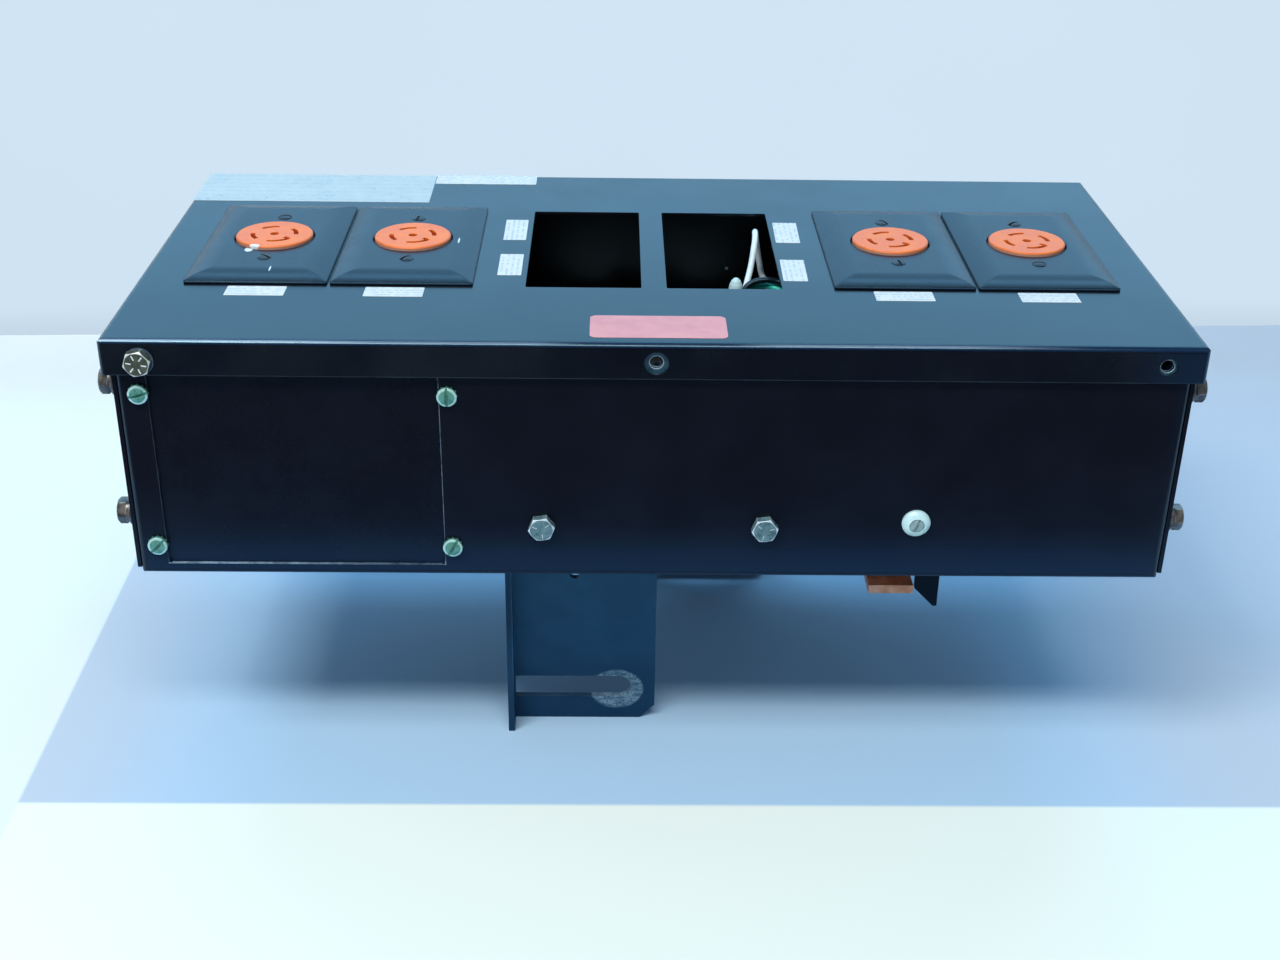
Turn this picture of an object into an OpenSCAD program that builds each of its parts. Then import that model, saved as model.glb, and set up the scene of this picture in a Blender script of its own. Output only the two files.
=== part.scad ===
// Busway tap-off box: plug-in power outlet unit with a lift-off lid.
// Origin: centre of the footprint, at the feet of the hanger brackets. Front is -Y, up is +Z.

/* [Enclosure] */
// Width of the lid over its skirts
lid_w = 500; // [460:1:560]
// Depth of the lid over its skirts
lid_d = 245; // [235:1:280]
// Height of the lid's skirt
skirt_h = 17.3; // [15:0.1:22]
// Sheet thickness of the lid and body
sheet = 1.5; // [1.2:0.1:2]
// Running gap between the skirt and the body's front and back walls
skirt_gap = 1.3; // [1.3:0.1:2]
// Gap between the skirt and the end plates
end_gap = 2.3; // [1.5:0.1:4]
// Height from the body's underside to the lid's top
box_h = 122.2; // [115:0.1:140]
// Outer radius of the sheet bends
bend_r = 3; // [2.5:0.1:3.5]
// Thickness of the end plates
end_plate_t = 1.9; // [1.5:0.1:3]
// Height of the end plates' lower edge above the body's underside
end_plate_lift = 2.8; // [1:0.1:5]
// Width of the body's end flanges
end_flange_w = 20; // [18:0.5:24]
// Height of the body's bottom end flange
bottom_flange_h = 12; // [8:0.5:16]
// Clearance between the lid and what it rests on
lid_seat = 0.3; // [0.2:0.05:0.5]

/* [Lid openings] */
// Width of each breaker opening
breaker_open_w = 56; // [50:0.5:60]
// Length of each breaker opening
breaker_open_l = 112.5; // [100:0.5:116]
// Width of the bar between the two openings
breaker_bar_w = 12.2; // [8:0.2:16]
// Set-back of the openings from the lid's centre line
breaker_open_y = 2.8; // [0:0.1:6]

/* [Access cover] */
// Width of the access opening in the front wall
access_w = 131.5; // [110:0.5:140]
// Left edge of the access opening, from the lid's left edge
access_x = 19.5; // [18:0.5:40]
// Height of the opening's lower edge above the body's underside
access_z = 6; // [5:0.5:9]
// Depth of the opening's upper edge below the lid's top
access_drop = 18; // [18:0.5:30]
// Corner radius of the access opening
access_r = 2.5; // [1:0.5:5]
// Distance of the cover screws from the opening's side edges
cover_screw_side = 4; // [3.5:0.1:5]
// Height of the lower cover screws above the body's underside
cover_screw_low = 16.3; // [12:0.1:24]
// Depth of the upper cover screws below the lid's top
cover_screw_drop = 27.3; // [26:0.1:40]

/* [Fasteners] */
// Major diameter of the quarter-inch bolts
bolt_d = 6.35; // [6:0.05:7]
// Width across flats of the hex heads and nuts
bolt_af = 11.1; // [10:0.1:11.3]
// Height of the hex heads
bolt_head_h = 4.2; // [3.5:0.1:5]
// Clearance hole for a quarter-inch bolt
bolt_hole_d = 7.2; // [7:0.1:8]
// Large access hole in the skirt at the left and middle lid bolts
skirt_hole_d = 11.4; // [9:0.1:12]
// Smaller hole in the skirt at the right lid bolt
skirt_hole_small_d = 8.7; // [8:0.1:10]
// Distance of the outer lid bolts from the lid's ends
lid_bolt_inset = 18.5; // [18:0.5:40]
// Depth of the lid bolts below the lid's top
lid_bolt_drop = 9.7; // [8.5:0.1:11]
// Head diameter of the cover screws
cover_screw_head_d = 9.2; // [8:0.1:10]

/* [Wall plates and receptacles] */
// Width of a one-gang wall plate
plate_w = 68.9; // [68:0.1:70]
// Length of a one-gang wall plate
plate_l = 113.4; // [112:0.1:116]
// Height of a wall plate
plate_h = 4; // [4:0.1:6]
// Pitch of two neighbouring wall plates
plate_pitch = 70.2; // [70.2:0.1:74]
// Distance from the lid's end to the middle of each pair of plates
plate_pair_inset = 93; // [88:0.5:96]
// Set-back of the wall plates from the lid's centre line
plate_back = 4; // [0:0.5:6]
// Sheet thickness of a wall plate
plate_t = 1; // [0.8:0.1:1.1]
// Height of a wall plate's upright rim
plate_rim = 1.2; // [1.1:0.1:2]
// Width of the sloping border of a wall plate
plate_slope = 13; // [10:0.5:14]
// Diameter of a receptacle's orange face
face_d = 38.6; // [38:0.1:39.4]
// Clearance round the face in the wall plate
face_gap = 0.9; // [0.3:0.1:1.2]
// Height of the face above the wall plate
face_proud = 1.6; // [0.5:0.1:3]
// Spacing of the two screws of a wall plate
plate_screw_pitch = 60.3; // [58:0.1:64]
// Spacing of the two mounting screws of a receptacle strap
strap_screw_pitch = 83.3; // [80:0.1:86]
// Diameter of a receptacle's rear body
socket_body_d = 42; // [38:0.5:46]
// Depth of a receptacle's rear body
socket_body_h = 32; // [28:0.5:40]

/* [Hanger brackets] */
// Height of the body's underside above the bracket feet
bracket_drop = 115.3; // [105:0.1:130]
// Width of a bracket over its side flange
bracket_w = 77; // [70:0.5:80]
// Left edge of the front bracket from the centre line
bracket_x = 73.2; // [70:0.1:76]
// Thickness of the bracket steel
bracket_t = 3.2; // [2.5:0.1:4]
// Set-back of the brackets and the stab head from the lid's centre line
hanger_back = 4; // [-4:0.5:8]
// Gap between a bracket's foot and the moulded stab base
bracket_gap = 7.7; // [5:0.1:12]
// Projection of the bracket's side flange
bracket_flange = 13; // [10:0.5:16]
// Depth of the bracket's top foot
bracket_foot = 20; // [18:0.5:20]
// Height of the hanger slot
slot_h = 12.7; // [8:0.1:14]
// Height of the hanger slot's centre above the feet
slot_z = 20; // [17:0.5:26]
// Distance of the slot's round end from the bracket's free edge
slot_end = 12.7; // [10:0.1:20]
// Corner chamfer of the bracket
bracket_chamfer = 8; // [4:0.5:10]

/* [Stab head and ground] */
// Spacing of the four stabs
stab_pitch = 24; // [24:0.5:26]
// Depth of the shrouds below the moulded base
shroud_h = 23; // [18:0.5:24]
// Thickness of the moulded base
stab_base_h = 12; // [10:0.5:14]
// Width of the moulded base
stab_base_w = 64; // [60:1:76]
// Bus bar thickness that a stab's jaw accepts
jaw_gap = 6.4; // [5:0.1:7]
// Width of the copper ground stab
ground_w = 23; // [19:0.5:26]
// Thickness of the copper ground stab
ground_t = 4.8; // [4:0.1:6]
// Distance of the ground stab from the centre line
ground_x = 124.5; // [115:0.5:130]
// Distance of the guide tab's outer edge from the ground stab's centre
tab_dx = 24.5; // [24:0.5:30]
// Height of the ground stab's foot above the bracket feet
ground_z = 78.5; // [70:0.5:90]
// Height of the nylon bushing above the body's underside
bushing_z = 30.6; // [26:0.1:36]

/* [Hidden] */
$fn = 48;
eps = 0.01;
// Clearance of fitted pieces in one body
fit = 0.15;
// Clearance between the lid's pieces and the body's
run = 0.3;

z_under = bracket_drop;
z_floor = z_under + sheet;
z_lid = z_under + box_h;
z_lid_under = z_lid - sheet;
z_wall_top = z_lid_under - lid_seat;
body_d = lid_d - 2*(sheet + skirt_gap);
y_wall = body_d/2;
y_wall_in = y_wall - sheet;
end_face = lid_w/2 - sheet - end_gap;
body_w = 2*(end_face - end_plate_t);
x_wall = body_w/2;
x_wall_in = x_wall - sheet;
x_fold = x_wall - bend_r;
y_fold = y_wall - bend_r;
z_skirt = z_lid - bend_r;
z_fold = z_under + bend_r;

// Lid bolts and clip nuts
z_lid_bolt = z_lid - lid_bolt_drop;
lid_bolt_x = lid_w/2 - lid_bolt_inset;
clip_t = 0.7;
clip_w = 14;
clip_drop = 13;
clip_bend = 1;
clip_barrel_d = 9.5;
clip_barrel_h = 4;
notch_w = bolt_d + 1.6;
clip_recess = clip_t + 0.9;
z_clip_seat = z_wall_top - clip_recess;
lid_bolt_len = 12.7;
lid_bolt_standoff = 1.4;

// End plate bolts
end_bolt_y = y_wall - 10;
end_bolt_z = [z_under + 29.2, z_lid - 25.4];
end_bolt_len = 12.7;
washer_t = 1.6;
lock_washer_t = 1.7;
nut_h = 5;

// Access cover
access_cx = -lid_w/2 + access_x + access_w/2;
access_h = box_h - access_z - access_drop;
access_cz = z_under + access_z + access_h/2;
cover_screw_dx = access_w + 2*cover_screw_side;
cover_screw_z = [z_under + cover_screw_low, z_lid - cover_screw_drop];
cover_margin = 5.5;
cover_w = cover_screw_dx + 2*cover_margin;
cover_x0 = access_cx - cover_w/2;
cover_z0 = z_floor + 1.6;
cover_top = access_cz + access_h/2 + 2;
cover_screw_d = 4.1;
tooth_washer_t = 0.9;
screw_head_h = 2.6;

// Breaker pan, rail stand and rails
pan_w = 156;
pan_t = 2;
pan_z = z_floor + 7;
pan_flange = 34;
pan_bolt_x = 52.8;
pan_bolt_z = z_under + 27.4;
pan_bolt_len = 14;
stand_w = 118;
stand_l = 106;
stand_h = 34;
stand_t = 2;
stand_foot = 12;
rail_w = 35;
rail_h = 7.5;
rail_t = 1.2;
rail_crown_w = 27;
rail_l = 150;
rail_x = (breaker_bar_w + breaker_open_w)/2;
z_rail = pan_z + pan_t + stand_h;

// Wall plates and receptacles
plate_pair_x = lid_w/2 - plate_pair_inset;
plate_x = [for (side = [-1, 1], k = [-1, 1]) side*plate_pair_x + k*plate_pitch/2];
strap_t = 1.2;
strap_w = 20;
strap_l = 106;
neck_d = 30;
cutout_w = 46;
cutout_l = 72;
z_strap = z_lid + strap_t;
z_face = z_lid + plate_h + face_proud;
plate_screw_d = 3.5;
contact_r = 10.8;
contact_w = 2.3;
contact_turn = 20;
terminal_d = 5;
lead_d = 3.3;

// Hanger brackets
bracket_hole_d = 6;
bracket_bolt_x = [-bracket_x + 21, -bracket_x + 59];
hanger_bolt_len = 14;

// Stab head
z_base = z_under - stab_base_h;
z_shroud = z_base - shroud_h;
shroud_w = 44;
shroud_d = 17;
stab_base_d = 3*stab_pitch + shroud_d + 10;
finger_t = 1.6;
finger_w = 28;
jaw_slot = jaw_gap + 2*finger_t + 0.6;
lug_h = 24;
lug_w = 14;
stab_window_d = 3*stab_pitch + shroud_d - 2;
stab_window_w = 36;
stab_screw_x = (stab_base_w - 10)/2;
stab_screw_y = stab_base_d/2 - 5;
plate_y = hanger_back - stab_base_d/2 - bracket_gap - bracket_foot;
bracket_bolt_y = plate_y + 12;

// Ground stab, its bushing and the guide tab
bushing_flange_d = 13.5;
bushing_proud = 4.6;
bushing_shank_d = 9.4;
bushing_bore_d = 4.4;
ground_screw_d = 4.1;
spacer_t = 3;
z_bushing = z_under + bushing_z;
ground_leg_y = -y_wall_in + spacer_t + ground_t/2;
ground_back_y = plate_y + 13.9;
ground_run_z = z_floor + 4;
tab_w = 24.5;
tab_t = bracket_t;
tab_x1 = ground_x + tab_dx;
tab_drop = 44.3;
tab_foot = 18;

// ---------- shared shapes ----------

// Box centred on X and Y with round vertical edges
module round_plate(w, d, h, r) {
  translate([-w/2 + r, -d/2, 0]) cube([w - 2*r, d, h]);
  translate([-w/2, -d/2 + r, 0]) cube([w, d - 2*r, h]);
  for (x = [-1, 1], y = [-1, 1])
    translate([x*(w/2 - r), y*(d/2 - r), 0]) cylinder(h = h, r = r);
}

// Box whose lower edges along X are round
module round_keel_x(w, d, z0, z1, r) {
  translate([-w/2, -d/2, z0 + r]) cube([w, d, z1 - z0 - r]);
  translate([-w/2, -d/2 + r, z0]) cube([w, d - 2*r, r + eps]);
  for (y = [-1, 1])
    translate([-w/2, y*(d/2 - r), z0 + r]) rotate([0, 90, 0]) cylinder(h = w, r = r);
}

// Box whose lower edges along Y are round
module round_keel_y(w, d, z0, z1, r) {
  rotate([0, 0, 90]) round_keel_x(d, w, z0, z1, r);
}

// Folded tray, open at the top: round at its four corners and its lower edges
module tray(w, d, z0, z1, r) {
  intersection() {
    translate([0, 0, z0]) round_plate(w, d, z1 - z0, r);
    round_keel_x(w + 2, d, z0, z1, r);
    round_keel_y(w, d + 2, z0, z1, r);
  }
}

// Turns local +Z to the front, the back, the left or the right
module to_front() { rotate([90, 0, 0]) children(); }
module to_back() { rotate([-90, 0, 0]) children(); }
module to_left() { rotate([0, -90, 0]) children(); }
module to_right() { rotate([0, 90, 0]) children(); }

// Hexagon prism with both flats level, and its corners chamfered on the +Z side
module hex_head(af, h) {
  corner = af/cos(30)/2;
  intersection() {
    cylinder(h = h, r = corner, $fn = 6);
    cylinder(h = h, r1 = corner + h*1.1, r2 = af/2*0.97);
  }
}

// Hex bolt along Z: head above zero, shank below
module hex_bolt(len) {
  hex_head(bolt_af, bolt_head_h);
  translate([0, 0, -len]) cylinder(h = len, d = bolt_d - 0.15);
}

module hex_nut(h) {
  difference() {
    cylinder(h = h, r = bolt_af/cos(30)/2, $fn = 6);
    translate([0, 0, -1]) cylinder(h = h + 2, d = bolt_d - 0.15);
  }
}

module flat_washer(od, id, t) {
  difference() {
    cylinder(h = t, d = od);
    translate([0, 0, -1]) cylinder(h = t + 2, d = id);
  }
}

// Spring washer with a slanted split
module split_washer(od, id, t) {
  difference() {
    flat_washer(od, id, t);
    rotate([0, 0, 40]) translate([id/2 - 1, -0.4, -1]) rotate([30, 0, 0]) cube([od, 0.8, 2*t + 3]);
  }
}

// External-tooth lock washer
module tooth_washer(od, id, t) {
  teeth = 12;
  linear_extrude(t) difference() {
    polygon([for (k = [0:2*teeth - 1])
      let (r = k % 2 == 0 ? od/2 : od/2 - 0.9, a = k*180/teeth) [r*cos(a), r*sin(a)]]);
    circle(d = id);
  }
}

// Slotted pan-head screw along Z: head above zero, shank below
module slotted_screw(head_d, head_h, d, len, turn) {
  difference() {
    intersection() {
      cylinder(h = head_h, d = head_d);
      translate([0, 0, head_h - head_d*0.95]) sphere(r = head_d*0.95, $fn = 64);
    }
    rotate([0, 0, turn]) translate([-head_d, -0.65, head_h - 1.3]) cube([2*head_d, 1.3, 3]);
  }
  translate([0, 0, -len]) cylinder(h = len + eps, d = d);
}

// ---------- enclosure ----------

module bolt_slot(d, h) { translate([0, 0, -h/2]) cylinder(h = h, d = d); }

// Places children at the three lid bolt positions on the front and back walls
module at_lid_bolts(which, y) {
  for (p = which) {
    translate([p[0]*lid_bolt_x, p[1]*y, z_lid_bolt]) rotate([-90*p[1], 0, 0]) children();
  }
}
all_lid_bolts = [for (s = [-1, 1], k = [-1, 0, 1]) [k, s]];
kept_lid_bolts = [[-1, -1], [1, 1]];
spare_lid_bolts = [[0, -1], [1, -1], [-1, 1], [0, 1]];

module at_end_bolts(side) {
  for (s = [-1, 1], z = end_bolt_z)
    translate([side*end_face, s*end_bolt_y, z]) rotate([0, 90*side, 0]) children();
}

module at_cover_screws() {
  for (x = [-1, 1], z = cover_screw_z)
    translate([access_cx + x*cover_screw_dx/2, -y_wall, z]) to_front() children();
}

module at_pan_bolts() {
  for (s = [-1, 1], x = [-1, 1])
    translate([x*pan_bolt_x, s*y_wall, pan_bolt_z]) rotate([-90*s, 0, 0]) children();
}

// Turns children about the upright axis through the middle of the stab head
module about_hanger(turn) {
  translate([0, hanger_back, 0]) rotate([0, 0, turn]) translate([0, -hanger_back, 0]) children();
}

module at_hanger_bolts() {
  for (turn = [0, 180], x = bracket_bolt_x)
    about_hanger(turn) translate([x, bracket_bolt_y, 0]) children();
}

module at_stab_screws() {
  for (x = [-1, 1], y = [-1, 1])
    translate([x*stab_screw_x, hanger_back + y*stab_screw_y, 0]) children();
}

// Folded case with every cut-out; its flat panels and end flanges are taken from it below
module case_shell() {
  difference() {
    tray(body_w, body_d, z_under, z_wall_top, bend_r);
    tray(body_w - 2*sheet, body_d - 2*sheet, z_floor, z_wall_top + 10, bend_r - sheet);
    // open ends, with flanges left round them
    translate([-body_w, -y_wall + end_flange_w, z_under + bottom_flange_h])
      cube([2*body_w, body_d - 2*end_flange_w, box_h]);
    // access opening
    translate([access_cx, -y_wall + 5, access_cz]) to_front()
      round_plate(access_w, access_h, 10, access_r);
    at_cover_screws() bolt_slot(cover_screw_d + 0.6, 8);
    // clip nut seats and the notches that let the lid bolts lift out
    for (p = all_lid_bolts) {
      translate([p[0]*lid_bolt_x - clip_w/2 - 1, p[1]*(y_wall - sheet/2) - 4, z_clip_seat])
        cube([clip_w + 2, 8, 10]);
      translate([p[0]*lid_bolt_x - notch_w/2, p[1]*(y_wall - sheet/2) - 4, z_lid_bolt])
        cube([notch_w, 8, 20]);
    }
    at_lid_bolts(all_lid_bolts, y_wall - sheet/2) bolt_slot(notch_w, 8);
    at_pan_bolts() bolt_slot(bolt_hole_d, 8);
    for (side = [-1, 1]) at_end_bolts(side) bolt_slot(bolt_hole_d, 16);
    // bushing hole, stab window and bracket bolt holes
    translate([ground_x, -y_wall, z_bushing]) to_front() bolt_slot(bushing_shank_d + 2*fit, 8);
    translate([0, hanger_back, z_under - 1])
      round_plate(stab_window_w, stab_window_d, sheet + 2, 2);
    translate([0, 0, z_floor]) at_hanger_bolts() bolt_slot(bolt_hole_d, 8);
    translate([0, 0, z_floor]) at_stab_screws() bolt_slot(cover_screw_d + 0.6, 8);
    // slot that the ground stab comes down through
    translate([ground_x, ground_back_y, z_under - 1])
      round_plate(ground_w + 6, ground_t + 6, sheet + 2, 2);
    translate([tab_x1 - 6.5, plate_y + 12, z_floor]) bolt_slot(cover_screw_d + 0.4, 8);
  }
}

// Part of the shell between two corners
module panel(lo, hi) {
  color("#15171b") intersection() {
    case_shell();
    translate(lo) cube(hi - lo);
  }
}
module case_floor() { panel([-x_fold, -y_fold, 0], [x_fold, y_fold, z_lid]); }
module case_bends() {
  panel([-x_fold, -y_wall - 1, 0], [x_fold, -y_fold, z_fold]);
  panel([-x_fold, y_fold, 0], [x_fold, y_wall + 1, z_fold]);
}
module case_front_wall() { panel([-x_fold, -y_wall - 1, z_fold], [x_fold, -y_fold, z_lid]); }
module case_back_wall() { panel([-x_fold, y_fold, z_fold], [x_fold, y_wall + 1, z_lid]); }
module left_end_flange() { panel([-x_wall - 1, -y_wall - 1, 0], [-x_fold, y_wall + 1, z_lid]); }
module right_end_flange() { panel([x_fold, -y_wall - 1, 0], [x_wall + 1, y_wall + 1, z_lid]); }

module lid_shell() {
  difference() {
    translate([0, 0, z_lid]) mirror([0, 0, 1]) difference() {
      tray(lid_w, lid_d, 0, skirt_h, bend_r);
      tray(lid_w - 2*sheet, lid_d - 2*sheet, sheet, skirt_h + 10, bend_r - sheet);
    }
    for (side = [-1, 1])
      translate([side*rail_x, breaker_open_y, z_lid - 10])
        round_plate(breaker_open_w, breaker_open_l, 20, 1);
    for (x = plate_x) translate([x, plate_back, z_lid - 10]) {
      round_plate(cutout_w, cutout_l, 20, 4);
      for (y = [-1, 1]) translate([0, y*strap_screw_pitch/2, 0]) cylinder(h = 20, d = plate_screw_d);
    }
    at_lid_bolts([for (p = all_lid_bolts) if (p[0]*p[1] != -1) p], lid_d/2)
      bolt_slot(skirt_hole_d, 10);
    at_lid_bolts([for (p = all_lid_bolts) if (p[0]*p[1] == -1) p], lid_d/2)
      bolt_slot(skirt_hole_small_d, 10);
  }
}

module lid() {
  color("#1b1e22") intersection() {
    lid_shell();
    translate([-lid_w, -lid_d, z_skirt]) cube([2*lid_w, 2*lid_d, bend_r + 1]);
  }
}
module lid_skirt() {
  color("#1b1e22") intersection() {
    lid_shell();
    translate([-lid_w, -lid_d, 0]) cube([2*lid_w, 2*lid_d, z_skirt]);
  }
}

module end_plate(side) {
  w = body_d - 3;
  z0 = z_under + end_plate_lift;
  color("#17191d") difference() {
    translate([side > 0 ? x_wall : -end_face, -w/2, z0])
      cube([end_plate_t, w, z_wall_top - z0]);
    at_end_bolts(side) bolt_slot(bolt_hole_d, 16);
  }
}
module left_end_plate() { end_plate(-1); }
module right_end_plate() { end_plate(1); }

module access_cover() {
  color("#111316") difference() {
    translate([cover_x0, -y_wall_in, cover_z0]) cube([cover_w, sheet, cover_top - cover_z0]);
    at_cover_screws() bolt_slot(cover_screw_d - 0.02, 16);
  }
}

module access_cover_screws() {
  turns = [45, 15, 60, 90];
  color("#8fb5a2") for (k = [0:3]) {
    x = k < 2 ? -1 : 1;
    translate([access_cx + x*cover_screw_dx/2, -y_wall, cover_screw_z[k % 2]])
      to_front() translate([0, 0, tooth_washer_t])
        slotted_screw(cover_screw_head_d, screw_head_h, cover_screw_d - 0.02, 8, turns[k]);
  }
}

module access_cover_lock_washers() {
  color("#9db8ab") at_cover_screws()
    tooth_washer(cover_screw_head_d + 0.8, cover_screw_d + 0.3, tooth_washer_t);
}

// ---------- lid bolts and clip nuts ----------

module lid_bolts() {
  color("#9a9c96") at_lid_bolts(kept_lid_bolts, lid_d/2)
    translate([0, 0, lid_bolt_standoff]) rotate([0, 0, 12]) hex_bolt(lid_bolt_len);
}

// Spring-steel clip over the wall's edge, with a threaded barrel inside; local +Z is outward
// and local +Y is up. play is the clip's gap to the wall, rise its gap to the seat.
module clip_nut(play, rise) {
  top = z_clip_seat + rise - z_lid_bolt;
  deep = sheet + 2*play + 2*clip_t;
  difference() {
    union() {
      translate([-clip_w/2, 0, play + clip_t - deep]) rotate([90, 0, 90]) linear_extrude(clip_w)
        difference() {
          union() {
            translate([top + clip_t - clip_drop, 0]) square([clip_drop - clip_bend, deep]);
            translate([top + clip_t - clip_drop, clip_bend]) square([clip_drop, deep - 2*clip_bend]);
            for (z = [clip_bend, deep - clip_bend])
              translate([top + clip_t - clip_bend, z]) circle(r = clip_bend);
          }
          translate([top - clip_drop, clip_t]) square([clip_drop, deep - 2*clip_t]);
        }
      translate([0, 0, play + clip_t - deep - clip_barrel_h])
        cylinder(h = clip_barrel_h + eps, d = clip_barrel_d);
    }
    translate([0, 0, -30]) cylinder(h = 60, d = bolt_d - 0.15);
  }
}

module at_clip_walls(which) {
  for (p = which)
    translate([p[0]*lid_bolt_x, p[1]*y_wall, z_lid_bolt])
      rotate([0, 0, p[1] > 0 ? 180 : 0]) rotate([90, 0, 0]) children();
}

module lid_bolt_clip_nuts() {
  color("#a9adb0") at_clip_walls(kept_lid_bolts) clip_nut(skirt_gap - clip_t, run);
}
module spare_clip_nuts() { color("#a9adb0") at_clip_walls(spare_lid_bolts) clip_nut(0, 0); }

// ---------- end plate fasteners ----------

module end_plate_bolts() {
  color("#8f8672") for (side = [-1, 1]) at_end_bolts(side)
    translate([0, 0, washer_t + lock_washer_t]) rotate([0, 0, 30]) hex_bolt(end_bolt_len);
}
module end_plate_flat_washers() {
  color("#a8a294") for (side = [-1, 1]) at_end_bolts(side)
    flat_washer(bolt_af + 2.5, bolt_d + 0.3, washer_t);
}
module end_plate_lock_washers() {
  color("#a8a294") for (side = [-1, 1]) at_end_bolts(side)
    translate([0, 0, washer_t]) split_washer(bolt_af + 0.5, bolt_d + 0.3, lock_washer_t);
}
// Nuts of the end plate, pan and hanger bolts
module hex_nuts() {
  color("#a8a294") {
    for (side = [-1, 1]) at_end_bolts(side)
      translate([0, 0, -end_plate_t - sheet - nut_h]) rotate([0, 0, 30]) hex_nut(nut_h);
    at_pan_bolts() translate([0, 0, -sheet - pan_t - nut_h]) hex_nut(nut_h);
    translate([0, 0, z_floor]) at_hanger_bolts() hex_nut(nut_h);
  }
}

// ---------- breaker pan, stand and rails ----------

module breaker_pan() {
  color("#2a2c30") difference() {
    union() {
      translate([-pan_w/2, -y_wall_in, pan_z]) cube([pan_w, 2*y_wall_in, pan_t]);
      for (s = [-1, 1])
        translate([-pan_w/2, s > 0 ? y_wall_in - pan_t : -y_wall_in, pan_z])
          cube([pan_w, pan_t, pan_flange]);
    }
    at_pan_bolts() bolt_slot(bolt_hole_d, 20);
    translate([0, hanger_back, pan_z - 1])
      round_plate(stab_window_w, stab_window_d, pan_t + 2, 2);
    translate([0, 0, pan_z - 1]) at_hanger_bolts() cylinder(h = pan_t + 2, d = bolt_af + 6);
    translate([0, 0, pan_z - 1]) at_stab_screws() cylinder(h = pan_t + 2, d = 12);
  }
}
module breaker_pan_bolts() {
  color("#b4b8b8") at_pan_bolts() rotate([0, 0, 8]) hex_bolt(pan_bolt_len);
}

module at_rail_screws() {
  for (side = [-1, 1], y = [-1, 1])
    translate([side*rail_x, y*(stand_l/2 - 12), z_rail]) children();
}

module rail_stand() {
  color("#74787c") difference() {
    translate([0, -stand_l/2, pan_z + pan_t]) {
      translate([-stand_w/2, 0, stand_h - stand_t]) cube([stand_w, stand_l, stand_t]);
      for (s = [-1, 1]) {
        translate([s > 0 ? stand_w/2 - stand_t : -stand_w/2, 0, 0]) cube([stand_t, stand_l, stand_h]);
        translate([s > 0 ? stand_w/2 - stand_t : -stand_w/2 - stand_foot + stand_t, 0, 0])
          cube([stand_foot, stand_l, stand_t]);
      }
    }
    at_rail_screws() bolt_slot(cover_screw_d - 0.02, 20);
  }
}

// Top-hat rail, 35 mm wide, lying along Y
module din_rail(side) {
  brim = (rail_w - rail_crown_w)/2;
  color("#b9bcbd") difference() {
    translate([side*rail_x, rail_l/2, z_rail]) rotate([90, 0, 0]) linear_extrude(rail_l) {
      translate([-rail_crown_w/2, 0]) square([rail_crown_w, rail_t]);
      for (s = [-1, 1]) {
        translate([s > 0 ? rail_crown_w/2 - rail_t : -rail_crown_w/2, 0]) square([rail_t, rail_h]);
        translate([s > 0 ? rail_crown_w/2 - rail_t : -rail_crown_w/2 - brim, rail_h - rail_t])
          square([brim + rail_t, rail_t]);
      }
    }
    at_rail_screws() bolt_slot(cover_screw_d + 0.4, 20);
  }
}
module left_din_rail() { din_rail(-1); }
module right_din_rail() { din_rail(1); }
module rail_screws() {
  color("#c7cacb") at_rail_screws() translate([0, 0, rail_t])
    slotted_screw(8, 2.4, cover_screw_d - 0.02, 6, 20);
}

// ---------- hanger brackets ----------

module hanger_bracket() {
  top = z_under;
  slot_x1 = bracket_w - bracket_x - slot_end - slot_h/2;
  difference() {
    union() {
      translate([-bracket_x, plate_y, 0]) cube([bracket_w, bracket_t, top]);
      translate([-bracket_x, plate_y - bracket_flange, 0])
        cube([bracket_t, bracket_flange + bracket_t, top]);
      translate([-bracket_x, plate_y, top - bracket_t]) cube([bracket_w, bracket_foot, bracket_t]);
    }
    // slot from the flange to its round end
    translate([-bracket_x + bracket_t, plate_y - 1, slot_z - slot_h/2])
      cube([slot_x1 + bracket_x - bracket_t, bracket_t + 2, slot_h]);
    translate([slot_x1, plate_y + bracket_t/2, slot_z]) to_front() bolt_slot(slot_h, bracket_t + 2);
    // free lower corner
    translate([bracket_w - bracket_x, plate_y + bracket_t/2, 0]) rotate([0, 45, 0])
      cube([bracket_chamfer*sqrt(2), bracket_t + 2, bracket_chamfer*sqrt(2)], center = true);
    translate([-bracket_x + 35, plate_y + bracket_t/2, top - 26])
      to_front() bolt_slot(bracket_hole_d, bracket_t + 2);
    for (x = bracket_bolt_x) translate([x, bracket_bolt_y, top]) bolt_slot(bolt_hole_d, 10);
  }
}
module front_hanger_bracket() { color("#20242a") hanger_bracket(); }
module rear_hanger_bracket() { color("#20242a") about_hanger(180) hanger_bracket(); }
module hanger_bolts() {
  color("#9a9c96") translate([0, 0, z_under - bracket_t]) at_hanger_bolts()
    mirror([0, 0, 1]) hex_bolt(hanger_bolt_len);
}

// ---------- stab head ----------

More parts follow.
